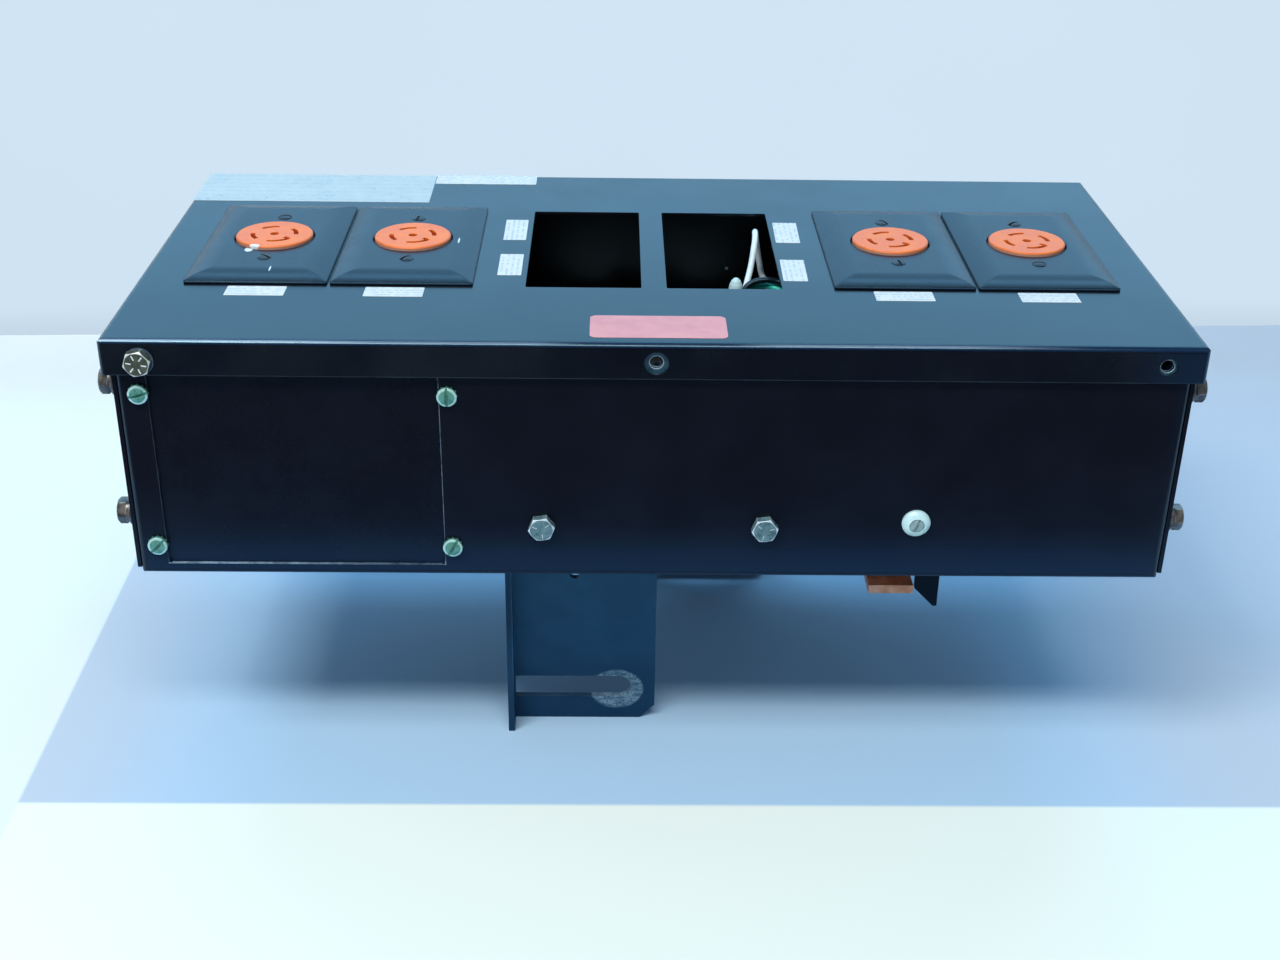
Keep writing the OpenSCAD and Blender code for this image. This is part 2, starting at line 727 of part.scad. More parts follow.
module stab_base() {
  color("#101113") translate([0, hanger_back, 0]) difference() {
    union() {
      translate([0, 0, z_base]) round_plate(stab_base_w, stab_base_d, stab_base_h, 4);
      translate([0, 0, z_under - 1])
        round_plate(stab_window_w - 2*run, stab_window_d - 2*run, sheet + 5, 2);
      for (k = [-1.5:1:1.5]) translate([0, k*stab_pitch, z_shroud])
        round_plate(shroud_w, shroud_d, shroud_h + 1, 2);
    }
    for (k = [-1.5:1:1.5]) translate([0, k*stab_pitch, 0]) {
      // jaw cavity, open at the bottom
      translate([-finger_w/2 - 0.5, -jaw_slot/2, z_shroud - 1]) cube([finger_w + 1, jaw_slot, shroud_h + 1]);
      // blade entry through the ends of the shroud
      translate([-shroud_w, -jaw_gap/2 - 0.3, z_shroud - 1]) cube([2*shroud_w, jaw_gap + 0.6, 17]);
      // passage of the lug
      translate([-lug_w/2 - 0.2, -finger_t - 0.2, z_base - 2])
        cube([lug_w + 0.4, 2*finger_t + 0.4, 40]);
    }
    translate([0, -hanger_back, z_base - 1]) at_stab_screws() cylinder(h = 40, d = cover_screw_d + 0.4);
  }
}
module stab_base_screws() {
  color("#b4b8b8") at_stab_screws() translate([0, 0, z_floor])
    slotted_screw(8, 2.4, cover_screw_d, 11, 30);
}

// Two sprung copper fingers that join in a lug with a terminal hole
module stab(k) {
  color("#b8693f") translate([0, hanger_back + k*stab_pitch, 0]) difference() {
    union() {
      for (s = [-1, 1])
        translate([-finger_w/2, s > 0 ? jaw_gap/2 : -jaw_gap/2 - finger_t, z_shroud + 2])
          cube([finger_w, finger_t, shroud_h - 2]);
      translate([-finger_w/2, -jaw_gap/2 - finger_t, z_base - finger_t])
        cube([finger_w, jaw_gap + 2*finger_t, finger_t]);
      translate([-lug_w/2, -finger_t, z_base - finger_t]) cube([lug_w, 2*finger_t, stab_base_h + lug_h]);
    }
    translate([0, 0, z_under + lug_h - 9]) to_front() bolt_slot(5, 10);
  }
}
module phase_stabs() { for (k = [-1.5, -0.5, 0.5]) stab(k); }
module neutral_stab() { stab(1.5); }

// ---------- isolated ground ----------

// Copper bar: leg behind the front wall, run along the floor, leg down and foot to the front
module ground_stab() {
  leg_top = z_bushing + 9;
  color("#b8693f") difference() {
    translate([ground_x - ground_w/2, 0, 0]) {
      translate([0, ground_leg_y - ground_t/2, ground_run_z]) cube([ground_w, ground_t, leg_top - ground_run_z]);
      translate([0, ground_leg_y - ground_t/2, ground_run_z])
        cube([ground_w, ground_back_y - ground_leg_y + ground_t, ground_t]);
      translate([0, ground_back_y - ground_t/2, ground_z])
        cube([ground_w, ground_t, ground_run_z + ground_t - ground_z]);
      translate([0, plate_y, ground_z]) cube([ground_w, ground_back_y - plate_y + ground_t/2, ground_t]);
    }
    translate([ground_x, -y_wall, z_bushing]) to_front() bolt_slot(ground_screw_d + 0.4, 40);
    translate([ground_x, (ground_leg_y + ground_back_y)/2, ground_run_z]) bolt_slot(5, 20);
  }
}
module ground_bushing() {
  color("#e9ece8") translate([ground_x, -y_wall, z_bushing]) to_front() difference() {
    union() {
      intersection() {
        cylinder(h = bushing_proud, d = bushing_flange_d);
        translate([0, 0, bushing_proud - bushing_flange_d*0.62]) sphere(r = bushing_flange_d*0.62, $fn = 64);
      }
      translate([0, 0, -sheet]) cylinder(h = sheet + eps, d = bushing_shank_d);
    }
    translate([0, 0, -10]) cylinder(h = 20, d = bushing_bore_d);
    translate([0, 0, bushing_proud - 2]) cylinder(h = 10, d = 7.2);
  }
}
module ground_spacer() {
  color("#e9ece8") translate([ground_x, -y_wall_in, z_bushing]) to_back()
    flat_washer(14, ground_screw_d + 0.4, spacer_t);
}
module ground_stab_screw() {
  color("#8e9496") translate([ground_x, -y_wall - bushing_proud + 2, z_bushing]) to_front()
    slotted_screw(6.8, 1.6, ground_screw_d, 21, 70);
}
module ground_stab_nut() {
  color("#8e9496") translate([ground_x, ground_leg_y + ground_t/2, z_bushing]) to_back()
    difference() {
      cylinder(h = 3.2, d = 9.2, $fn = 6);
      translate([0, 0, -1]) cylinder(h = 6, d = ground_screw_d);
    }
}

// Steel guide tab beside the ground stab, with a slanted lead-in and a foot under the box
module guide_tab() {
  z0 = z_under - tab_drop;
  color("#17191d") difference() {
    union() {
      translate([tab_x1, plate_y + tab_t, 0]) to_front() linear_extrude(tab_t)
        polygon([[-tab_w/2, z_under], [-tab_w/2, z0 + 10.5], [-2, z0], [0, z0], [0, z_under]]);
      translate([tab_x1 - tab_w/2, plate_y, z_under - tab_t]) cube([tab_w/2, tab_foot, tab_t]);
    }
    translate([tab_x1 - 6.5, plate_y + 12, z_under]) bolt_slot(cover_screw_d + 0.4, 12);
  }
}
module guide_tab_screws() {
  color("#9a9c96") translate([tab_x1 - 6.5, plate_y + 12, z_under - tab_t]) mirror([0, 0, 1])
    slotted_screw(8, 2.4, cover_screw_d, 8, 0);
  color("#9a9c96") translate([tab_x1 - 6.5, plate_y + 12, z_floor]) difference() {
    cylinder(h = 3.2, d = 9.2, $fn = 6);
    translate([0, 0, -1]) cylinder(h = 6, d = cover_screw_d + 0.02);
  }
}

// ---------- wall plates and receptacles ----------

// Cross-section of a raised plate: upright rim, curved border, flat middle
module plate_profile(w, h, rim, slope) {
  rise = h - rim;
  r = (slope*slope + rise*rise)/(2*rise);
  flat = w - 2*slope;
  translate([-flat/2, 0]) square([flat, h]);
  for (s = [-1, 1]) intersection() {
    translate([s*flat/2, h - r]) circle(r = r, $fn = 96);
    translate([s > 0 ? 0 : -w/2, 0]) square([w/2, h]);
  }
}

module raised_plate(w, l, h, rim, slope) {
  intersection() {
    translate([0, l/2, 0]) rotate([90, 0, 0]) linear_extrude(l) plate_profile(w, h, rim, slope);
    translate([-w/2, 0, 0]) rotate([90, 0, 90]) linear_extrude(w) plate_profile(l, h, rim, slope);
    round_plate(w, l, h + 1, 1.5);
  }
}

module wall_plate(k) {
  color("#1f2226") translate([plate_x[k], plate_back, z_lid]) difference() {
    raised_plate(plate_w, plate_l, plate_h, plate_rim, plate_slope);
    translate([0, 0, -eps])
      raised_plate(plate_w - 2*plate_t, plate_l - 2*plate_t, plate_h - plate_t, plate_rim - plate_t + 0.15, plate_slope);
    translate([0, 0, -1]) cylinder(h = 20, d = face_d + 2*face_gap, $fn = 96);
    for (y = [-1, 1]) translate([0, y*plate_screw_pitch/2, -1]) cylinder(h = 20, d = plate_screw_d + 0.3);
  }
}
module wall_plate_1() { wall_plate(0); }
module wall_plate_2() { wall_plate(1); }
module wall_plate_3() { wall_plate(2); }
module wall_plate_4() { wall_plate(3); }

// Four curved blade slots, one with a hooked end, and the round centre hole
module contact_slots(h) {
  rotate([0, 0, contact_turn]) {
    for (k = [0:3]) {
      span = k == 3 ? 62 : 48;
      rotate([0, 0, 90*k - span/2]) rotate_extrude(angle = span)
        translate([contact_r - contact_w/2, 0]) square([contact_w, h]);
    }
    rotate([0, 0, -60]) translate([contact_r - 3.3, -contact_w/2, 0]) cube([3.3, contact_w, h]);
  }
  cylinder(h = h, d = 4.4);
}

module receptacle_face(k) {
  h = z_face - z_strap;
  color("#e8632c") translate([plate_x[k], plate_back, z_strap]) difference() {
    intersection() {
      cylinder(h = h, d = face_d, $fn = 96);
      cylinder(h = h, r1 = face_d/2 + h - 0.6, r2 = face_d/2 - 0.6, $fn = 96);
    }
    translate([0, 0, -1]) contact_slots(h + 2);
  }
}
module receptacle_face_1() { receptacle_face(0); }
module receptacle_face_2() { receptacle_face(1); }
module receptacle_face_3() { receptacle_face(2); }
module receptacle_face_4() { receptacle_face(3); }

terminal_angles = [45, 135, 225, 315];

module receptacle_body(k) {
  color("#2c2d30") translate([plate_x[k], plate_back, z_lid]) difference() {
    union() {
      translate([0, 0, -socket_body_h]) cylinder(h = socket_body_h, d = socket_body_d);
      cylinder(h = strap_t, d = neck_d);
    }
    translate([0, 0, -14]) contact_slots(20);
    // wiring recesses behind the terminal screws
    for (a = terminal_angles) rotate([0, 0, a])
      translate([socket_body_d/2 - 3, -4, -socket_body_h - 1]) cube([10, 8, 16]);
  }
}
module receptacle_body_1() { receptacle_body(0); }
module receptacle_body_2() { receptacle_body(1); }
module receptacle_body_3() { receptacle_body(2); }
module receptacle_body_4() { receptacle_body(3); }

module receptacle_straps() {
  color("#9aa0a3") for (x = plate_x) translate([x, plate_back, z_lid]) difference() {
    union() {
      round_plate(strap_w, strap_l, strap_t, 3);
      cylinder(h = strap_t, d = socket_body_d);
    }
    translate([0, 0, -1]) cylinder(h = 4, d = neck_d + 2*fit);
    for (y = [-1, 1]) {
      translate([0, y*strap_screw_pitch/2, -1]) cylinder(h = 4, d = plate_screw_d + 0.3);
      translate([0, y*plate_screw_pitch/2, -1]) cylinder(h = 4, d = plate_screw_d - 0.02);
    }
  }
}

module wall_plate_screws() {
  color("#1b1d20") for (x = plate_x, y = [-1, 1])
    translate([x, plate_back + y*plate_screw_pitch/2, z_lid + plate_h])
      slotted_screw(7, 1.2, plate_screw_d - 0.02, plate_h + 1, x + 20*y);
}
module strap_screws() {
  color("#9aa0a3") for (x = plate_x, y = [-1, 1])
    translate([x, plate_back + y*strap_screw_pitch/2, z_strap])
      slotted_screw(6.4, 1.3, plate_screw_d - 0.02, 8, 0);
}
module terminal_screws() {
  color("#b99a4a") for (x = plate_x, a = terminal_angles)
    translate([x, plate_back, z_lid - socket_body_h + 8]) rotate([0, 0, a])
      translate([socket_body_d/2 - 3, 0, 0]) to_right() cylinder(h = 2.4, d = terminal_d + 2);
}

// ---------- leads ----------

// Catmull-Rom point between b and c
function blend(a, b, c, d, t) =
  0.5*(2*b + (c - a)*t + (2*a - 5*b + 4*c - d)*t*t + (3*b - a - 3*c + d)*t*t*t);
function at(p, k) = p[max(0, min(len(p) - 1, k))];
function smooth(p, n) = [for (k = [0:len(p) - 2], j = [0:n - 1])
  blend(at(p, k - 1), p[k], p[k + 1], at(p, k + 2), j/n), p[len(p) - 1]];
function unit(v) = v/norm(v);

// Side vectors carried along the run without twisting
function carry(dir, k, u) = k == len(dir) ? [] :
  let (v = unit(u - (u*dir[k])*dir[k])) concat([v], carry(dir, k + 1, v));

// Round tube swept along the points
module lead(points, d, sides = 8) {
  p = smooth(points, 4);
  n = len(p);
  dir = [for (k = [0:n - 1]) unit(at(p, k + 1) - at(p, k - 1))];
  side = carry(dir, 0, [0.3, 0.1, 1]);
  ring = [for (k = [0:n - 1], j = [0:sides - 1])
    p[k] + d/2*(cos(360*j/sides)*side[k] + sin(360*j/sides)*cross(side[k], dir[k]))];
  skin = [for (k = [0:n - 2], j = [0:sides - 1]) let (a = k*sides + j, b = k*sides + (j + 1) % sides)
    [a, b, b + sides, a + sides]];
  first = [[for (j = [0:sides - 1]) sides - 1 - j]];
  last = [[for (j = [0:sides - 1]) (n - 1)*sides + j]];
  polyhedron(ring, concat(skin, first, last));
}

// Point at a distance out from the screw of terminal a on receptacle k
function terminal(k, a, out = 0, up = 0) = let (r = socket_body_d/2 - 0.54 + out)
  [plate_x[k] + cos(a)*r, plate_back + sin(a)*r, z_lid - socket_body_h + 8 + up];
nut_at = [rail_x + 8.8, 5, z_lid - 38.5];

module neutral_leads() {
  color("#e8eaea") {
    lead([terminal(2, 135), terminal(2, 135, 3), terminal(2, 135, 7), nut_at + [43, 32, -3], nut_at + [27, 46, -6],
      nut_at + [19.7, 52, 3], nut_at + [17.4, 50, 11], nut_at + [15.6, 48, 20], nut_at + [13.9, 45, 29],
      nut_at + [13.1, 39.5, 33.2], nut_at + [12.7, 32.5, 32], nut_at + [11.5, 24.5, 28], nut_at + [9.8, 18, 21],
      nut_at + [7.7, 11, 15.6], nut_at + [6.6, 7.5, 12], nut_at + [6.6, 6, 4], nut_at + [5.6, 3, -5],
      nut_at + [3.2, 0.5, -5], nut_at + [2.7, 0, 2], nut_at + [2.7, 0, 10]], lead_d);
    lead([terminal(3, 135), terminal(3, 135, 3), terminal(3, 135, 7, -2), nut_at + [104, 30, -14], nut_at + [79, 30, -17],
      nut_at + [37, 14, -20], nut_at + [10, 1, -17], nut_at + [0, 0, -10], nut_at + [-0.7, 0, 2],
      nut_at + [-0.7, 0, 10]], lead_d);
  }
}
module phase_lead() {
  color("#131418") lead([terminal(2, 225), terminal(2, 225, 3), terminal(2, 225, 7), nut_at + [42, -20, 17],
    nut_at + [30, -11, 21], nut_at + [22.4, -6.5, 22.5], nut_at + [15.5, -6, 23.2], nut_at + [9.4, -6, 21.8],
    nut_at + [5.2, -7.5, 18.2], nut_at + [3.6, -11, 9], nut_at + [9, -19, -6], nut_at + [42, -34, -14],
    nut_at + [79, -36, -14], nut_at + [112, -32, -6],
    terminal(3, 225, 7, -1), terminal(3, 225, 3),
    terminal(3, 225)], lead_d);
}
module ground_lead() {
  color("#1f9d6e") lead([terminal(2, 315), terminal(2, 315, 3), terminal(2, 315, 7), nut_at + [84, -32, 8],
    nut_at + [56, -27, 6], nut_at + [34, -17, 14], nut_at + [22, -6.5, 18.4], nut_at + [14.5, -3, 19.2],
    nut_at + [8.6, -3.2, 17.6], nut_at + [7.6, -7, 12], nut_at + [12, -17, 3], nut_at + [27, -35, -8],
    nut_at + [56, -46, -16], nut_at + [92, -50, -14],
    nut_at + [140, -46, -6], nut_at + [166, -28, 8], terminal(3, 315, 7), terminal(3, 315, 3),
    terminal(3, 315)], lead_d);
}
// Tapered twist-on connector with a domed tip
module wire_connector() {
  color("#eef0ee") translate(nut_at + [1, 0, 0]) difference() {
    union() {
      cylinder(h = 12, r1 = 5.2, r2 = 4.4);
      translate([0, 0, 12]) cylinder(h = 6.5, r1 = 4.4, r2 = 3.3);
      translate([0, 0, 18.5]) cylinder(h = 2, r1 = 3.3, r2 = 2.4);
      translate([0, 0, 20.5]) cylinder(h = 1.2, r1 = 2.4, r2 = 1.2);
    }
    translate([0, 0, -1]) cylinder(h = 12, d = 6.74);
  }
}

case_floor();
case_bends();
case_front_wall();
case_back_wall();
left_end_flange();
right_end_flange();
lid();
lid_skirt();
left_end_plate();
right_end_plate();
access_cover();
access_cover_screws();
access_cover_lock_washers();
lid_bolts();
lid_bolt_clip_nuts();
spare_clip_nuts();
end_plate_bolts();
end_plate_lock_washers();
end_plate_flat_washers();
hex_nuts();
breaker_pan();
breaker_pan_bolts();
rail_stand();
left_din_rail();
right_din_rail();
rail_screws();
front_hanger_bracket();
rear_hanger_bracket();
hanger_bolts();
stab_base();
stab_base_screws();
phase_stabs();
neutral_stab();
ground_stab();
ground_bushing();
ground_spacer();
ground_stab_screw();
ground_stab_nut();
guide_tab();
guide_tab_screws();
wall_plate_1();
wall_plate_2();
wall_plate_3();
wall_plate_4();
receptacle_face_1();
receptacle_face_2();
receptacle_face_3();
receptacle_face_4();
receptacle_body_1();
receptacle_body_2();
receptacle_body_3();
receptacle_body_4();
receptacle_straps();
wall_plate_screws();
strap_screws();
terminal_screws();
neutral_leads();
phase_lead();
ground_lead();
wire_connector();
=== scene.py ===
import math
import random
import bmesh
import bpy
from mathutils import Matrix, Vector


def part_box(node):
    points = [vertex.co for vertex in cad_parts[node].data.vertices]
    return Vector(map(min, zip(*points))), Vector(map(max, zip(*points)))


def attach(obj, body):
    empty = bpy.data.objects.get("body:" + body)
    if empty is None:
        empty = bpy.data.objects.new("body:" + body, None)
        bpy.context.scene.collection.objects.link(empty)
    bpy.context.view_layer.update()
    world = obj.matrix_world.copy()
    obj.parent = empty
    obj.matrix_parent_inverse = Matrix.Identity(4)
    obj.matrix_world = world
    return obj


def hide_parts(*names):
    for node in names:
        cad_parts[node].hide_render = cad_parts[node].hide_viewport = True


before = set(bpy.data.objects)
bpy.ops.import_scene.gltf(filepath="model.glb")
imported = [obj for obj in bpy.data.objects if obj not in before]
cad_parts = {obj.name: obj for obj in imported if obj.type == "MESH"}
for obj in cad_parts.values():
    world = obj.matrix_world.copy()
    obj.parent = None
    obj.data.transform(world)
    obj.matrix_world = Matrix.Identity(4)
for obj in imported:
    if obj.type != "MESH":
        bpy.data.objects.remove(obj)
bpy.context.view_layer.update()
MM = 0.001
draws = random.Random(7)
scene = bpy.context.scene

# ------------------------------------------------------------------ camera
camera_data = bpy.data.cameras.new("camera")
camera = bpy.data.objects.new("camera", camera_data)
scene.collection.objects.link(camera)
camera_data.sensor_fit = "HORIZONTAL"
camera_data.sensor_width = 36
camera_data.lens = 48.0647
camera_data.clip_start = 0.01
camera_data.clip_end = 50
camera.location = (-0.02027, -0.82706, 0.53643)
camera.rotation_euler = [math.radians(a) for a in (62.4654, -0.80839, -0.6847)]
scene.camera = camera
scene.view_settings.view_transform = "Standard"

# ------------------------------------------------------------------ node helpers
# Places are in metres on the frame's axes: x to the right, y to the back, z up. coords are the object
# coordinates, which for the CAD nodes are the frame's own.
# A material's extra takes (tree, coords, tone, roughness, height) and returns the last three, changed or not.


def put(tree, kind, links=None, **values):
    """Add a node; values sets its inputs or its own settings, and links joins its inputs to sockets."""
    node = tree.nodes.new("ShaderNode" + kind)
    for key, value in values.items():
        name = key.replace("_", " ")
        if name in node.inputs:
            node.inputs[name].default_value = value
        else:
            setattr(node, key, value)
    for key, socket in (links or {}).items():
        tree.links.new(socket, node.inputs[key])
    return node


def calc(tree, operation, *values, clamp=False):
    """One Math node, on sockets or numbers."""
    node = tree.nodes.new("ShaderNodeMath")
    node.operation = operation
    node.use_clamp = clamp
    for i, value in enumerate(values):
        if isinstance(value, (int, float)):
            node.inputs[i].default_value = value
        else:
            tree.links.new(value, node.inputs[i])
    return node.outputs[0]


def times(tree, first, *factors):
    """The product of several values."""
    for factor in factors:
        first = calc(tree, "MULTIPLY", first, factor)
    return first


def span(tree, value, lo, hi, to_lo=0.0, to_hi=1.0, smooth=True):
    """value's run from lo to hi, brought to the run from to_lo to to_hi and held at its ends."""
    node = tree.nodes.new("ShaderNodeMapRange")
    node.interpolation_type = "SMOOTHSTEP" if smooth else "LINEAR"
    tree.links.new(value, node.inputs[0])
    for i, end in enumerate((lo, hi, to_lo, to_hi)):
        node.inputs[i + 1].default_value = end
    return node.outputs[0]


def near(tree, value, centre, half):
    """1 where value is within half of centre."""
    off = calc(tree, "ABSOLUTE", calc(tree, "SUBTRACT", value, centre))
    return calc(tree, "LESS_THAN", off, half)


def mix(tree, share, a, b):
    """Colour a where share is 0, and b where it is 1."""
    node = tree.nodes.new("ShaderNodeMix")
    node.data_type = "RGBA"
    for i, value in ((0, share), (6, a), (7, b)):
        if isinstance(value, (int, float)):
            node.inputs[i].default_value = value
        elif isinstance(value, (tuple, list)):
            node.inputs[i].default_value = (*value[:3], 1)
        else:
            tree.links.new(value, node.inputs[i])
    return node.outputs[2]


def noise(tree, coords, scale, detail=3.0, rough=0.5, stretch=None, turn=0.0):
    """Noise from 0 to 1, stretched and turned where asked."""
    if stretch:
        placed = put(tree, "Mapping", {"Vector": coords})
        placed.inputs["Scale"].default_value = stretch
        placed.inputs["Rotation"].default_value = (turn, turn, turn)
        coords = placed.outputs[0]
    return put(tree, "TexNoise", {"Vector": coords}, Scale=scale, Detail=detail, Roughness=rough).outputs[0]


def blob(tree, coords, centre, size, edge=0.3):
    """1 inside an ellipsoid round centre, fading to 0 at its skin."""
    placed = put(tree, "Mapping", {"Vector": coords}, vector_type="TEXTURE")
    placed.inputs["Location"].default_value = centre
    placed.inputs["Scale"].default_value = size
    reach = put(tree, "VectorMath", {0: placed.outputs[0]}, operation="LENGTH").outputs["Value"]
    return span(tree, reach, 1.0, 1.0 - edge)


def axes(tree, vector):
    """The x, y and z of a vector."""
    return put(tree, "SeparateXYZ", {0: vector}).outputs


def facing(tree, kind="Normal"):
    """The x, y and z of the direction that the surface faces."""
    return axes(tree, put(tree, "NewGeometry").outputs[kind])


def edge_wear_and_highlight(tree, coords, tone, colour, amount, width, even=None):
    """Another colour along the edges, for edge wear and for painted edge highlights: in patches, and nearly
    unbroken where even is given.
    """
    grain, flat, least = (700, 0.985, 0.75) if even else (120, 0.97, 0.0)
    rounded = put(tree, "Bevel", samples=6, Radius=width).outputs[0]
    normal = put(tree, "NewGeometry").outputs["Normal"]
    dot = put(tree, "VectorMath", {0: rounded, 1: normal}, operation="DOT_PRODUCT").outputs["Value"]
    patch = span(tree, noise(tree, coords, grain, 4, 0.7), 0.42, 0.62, least, 1.0)
    share = calc(tree, "MULTIPLY", patch, amount)
    mask = calc(tree, "MULTIPLY", span(tree, dot, flat, 0.8), share, clamp=True)
    return mix(tree, mask, tone, colour)


# Turn in radians and stretch of each run of scratches
SCRATCH_RUNS = ((0.5, (14, 260, 260)), (-0.9, (18, 300, 240)), (1.9, (11, 220, 320)))


def scratched(tree, coords, tone, colour, amount, density):
    """Fine lines that run three ways, in more places where density is higher."""
    lines = None
    for k, (turn, stretch) in enumerate(SCRATCH_RUNS):
        wave = noise(tree, coords, 1.0, 2, 0.4, stretch, turn)
        off = calc(tree, "ABSOLUTE", calc(tree, "SUBTRACT", wave, 0.5 + 0.04 * k))
        line = span(tree, off, 0.004, 0.0)
        lines = line if lines is None else calc(tree, "MAXIMUM", lines, line)
    where = span(tree, noise(tree, coords, 22, 3, 0.6), 1.0 - density, 1.0 - density + 0.08)
    return mix(tree, times(tree, lines, where, amount), tone, colour)


def dusty(tree, coords, tone, colour, amount):
    """A patchy film with specks in it."""
    specks = span(tree, noise(tree, coords, 1400, 1, 0.5), 0.74, 0.8)
    film = span(tree, noise(tree, coords, 16, 4, 0.6), 0.35, 0.75)
    both = calc(tree, "ADD", calc(tree, "MULTIPLY", film, 0.5), specks)
    return mix(tree, calc(tree, "MULTIPLY", both, amount, clamp=True), tone, colour)


def surface(name, a, b, rough=(0.4, 0.5), metal=0.0, scale=30, grain=900, bump=0.08, depth=0.1, spec=0.5,
            edge=None, scratch=None, dust=None, tint=None, extra=None, bevel=0.0):
    """A procedural material: mottled from a to b, with varied roughness, fine bump and the wear and painted
    edge highlights it asks for.
    depth is in mm, and bevel in m."""
    material = bpy.data.materials.new(name)
    material.use_nodes = True
    tree = material.node_tree
    tree.nodes.clear()
    out = put(tree, "OutputMaterial")
    shader = put(tree, "BsdfPrincipled")
    tree.links.new(shader.outputs[0], out.inputs[0])
    shader.inputs["Metallic"].default_value = metal
    shader.inputs["Specular IOR Level"].default_value = spec
    if tint:
        shader.inputs["Specular Tint"].default_value = (*tint, 1)
    coords = put(tree, "TexCoord").outputs["Object"]
    big = span(tree, noise(tree, coords, scale, 5, 0.6), 0.3, 0.7)
    fine = noise(tree, coords, grain, 2, 0.5)
    blend = calc(tree, "ADD", calc(tree, "MULTIPLY", big, 0.6), calc(tree, "MULTIPLY", fine, 0.4))
    tone = mix(tree, big, a, b)
    roughness = span(tree, blend, 0.15, 0.85, rough[0], rough[1], False)
    height = fine
    if edge:
        tone = edge_wear_and_highlight(tree, coords, tone, *edge)
    if scratch:
        tone = scratched(tree, coords, tone, *scratch)
    if dust:
        tone = dusty(tree, coords, tone, *dust)
    if extra:
        tone, roughness, height = extra(tree, coords, tone, roughness, height)
    tree.links.new(tone, shader.inputs["Base Color"])
    tree.links.new(roughness, shader.inputs["Roughness"])
    bumped = put(tree, "Bump", {"Height": height}, Strength=bump, Distance=depth * MM)
    if bevel:
        tree.links.new(put(tree, "Bevel", samples=6, Radius=bevel).outputs[0], bumped.inputs["Normal"])
    tree.links.new(bumped.outputs[0], shader.inputs["Normal"])
    return material


def islands(node):
    """The corners (lowest, highest) of the boxes round a node's separate solids."""
    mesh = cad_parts[node].data
    parent = list(range(len(mesh.vertices)))

    def find(i):
        while parent[i] != i:
            parent[i] = parent[parent[i]]
            i = parent[i]
        return i
    seen = {}
    for v in mesh.vertices:
        key = tuple(round(c, 6) for c in v.co)
        if key in seen:
            parent[find(v.index)] = find(seen[key])
        else:
            seen[key] = v.index
    for e in mesh.edges:
        parent[find(e.vertices[0])] = find(e.vertices[1])
    groups = {}
    for v in mesh.vertices:
        groups.setdefault(find(v.index), []).append(v.co)
    return [(Vector(map(min, zip(*g))), Vector(map(max, zip(*g)))) for g in groups.values()]


# ------------------------------------------------------------------ extras, each for one or two materials
SCRATCH_PALE = (0.62, 0.68, 0.72)
COOL = (0.6, 0.9, 1.0)
# The access opening's cut edges: left, right and foot, and how far the painted highlights on the sides reach
# up
OPENING_LEFT = -0.2305
OPENING_RIGHT = -0.0990
OPENING_FOOT = 0.1213
OPENING_TALL = 0.1002


def bracket_wear_and_shade(side):
    """Paint rubbed off round the closed end of the hanger slot, and painted shade: darker low down and on the
    flange.
    side is 1 for the front bracket and -1 for the rear one."""
    flange_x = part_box("front_hanger_bracket")[0].x
    slot_end = (side * -0.0165, -0.0732 if side > 0 else 0.0812, 0.0182)

    def go(tree, coords, tone, roughness, height):
        wide = blob(tree, coords, slot_end, (0.0148, 0.02, 0.0126), 0.10)
        torn = span(tree, noise(tree, coords, 1000, 4, 0.65), 0.34, 0.50)
        rubbed = calc(tree, "MULTIPLY", wide, torn)
        streak = span(tree, noise(tree, coords, 160, 4, 0.7, (1, 1, 4)), 0.4, 0.6)
        bare = mix(tree, streak, (0.06, 0.12, 0.17), (0.19, 0.28, 0.35))
        x, _, z = axes(tree, coords)
        # Painted shade: the flange and the lower part are darkened.
        flange = span(tree, calc(tree, "MULTIPLY", x, side), flange_x + 0.0030, flange_x + 0.0026)
        low = span(tree, z, 0.055, 0.018, 0.0, 0.62)
        dark = calc(tree, "MAXIMUM", low, calc(tree, "MULTIPLY", flange, 0.6))
        tone = mix(tree, dark, tone, (0.0030, 0.010, 0.030))
        tone = mix(tree, rubbed, tone, bare)
        return tone, calc(tree, "ADD", roughness, calc(tree, "MULTIPLY", rubbed, 0.12)), height
    return go


def painted_floor_reflection(tree, coords, tone, right=(0.236, 0.252)):
    """A painted reflection of the blue floor: bluer along the foot and at the right end, from right[0] on."""
    x, _, z = axes(tree, coords)
    low = span(tree, z, 0.146, 0.118, 0.0, 0.55)
    end = span(tree, x, *right, 0.0, 0.55)
    return mix(tree, calc(tree, "MAXIMUM", low, end), tone, (0.0050, 0.018, 0.050))


def cover_floor_reflection(tree, coords, tone, roughness, height):
    """The access cover takes the front's painted floor reflection along its foot."""
    return painted_floor_reflection(tree, coords, tone), roughness, height


def cut_edge_highlights(tree, coords, tone, roughness, height):
    """Painted highlights: thin pale lines on the access opening's cut edges, foot, left and, more strongly,
    right, over the front's painted floor reflection.
    """
    x, _, z = axes(tree, coords)
    right_half = 0.00035
    foot = times(tree, near(tree, z, OPENING_FOOT, 0.00022), span(tree, x, -0.19, -0.11, 1.0, 0.3))
    left = near(tree, x, OPENING_LEFT, 0.0002)
    right = calc(tree, "MULTIPLY", near(tree, x, OPENING_RIGHT, right_half), 3.0)
    beside = near(tree, z, OPENING_FOOT - 0.0002 + OPENING_TALL / 2, OPENING_TALL / 2)
    sides = times(tree, calc(tree, "ADD", left, right), beside, 0.15)
    patch = span(tree, noise(tree, coords, 150, 4, 0.7), 0.35, 0.65, 0.35, 1.0)
    half_width = (OPENING_RIGHT - OPENING_LEFT) / 2 + right_half
    within = near(tree, x, (OPENING_LEFT + OPENING_RIGHT) / 2, half_width)
    mask = times(tree, calc(tree, "ADD", foot, sides, clamp=True), within, patch)
    return mix(tree, mask, painted_floor_reflection(tree, coords, tone), (0.26, 0.36, 0.46)), roughness, height


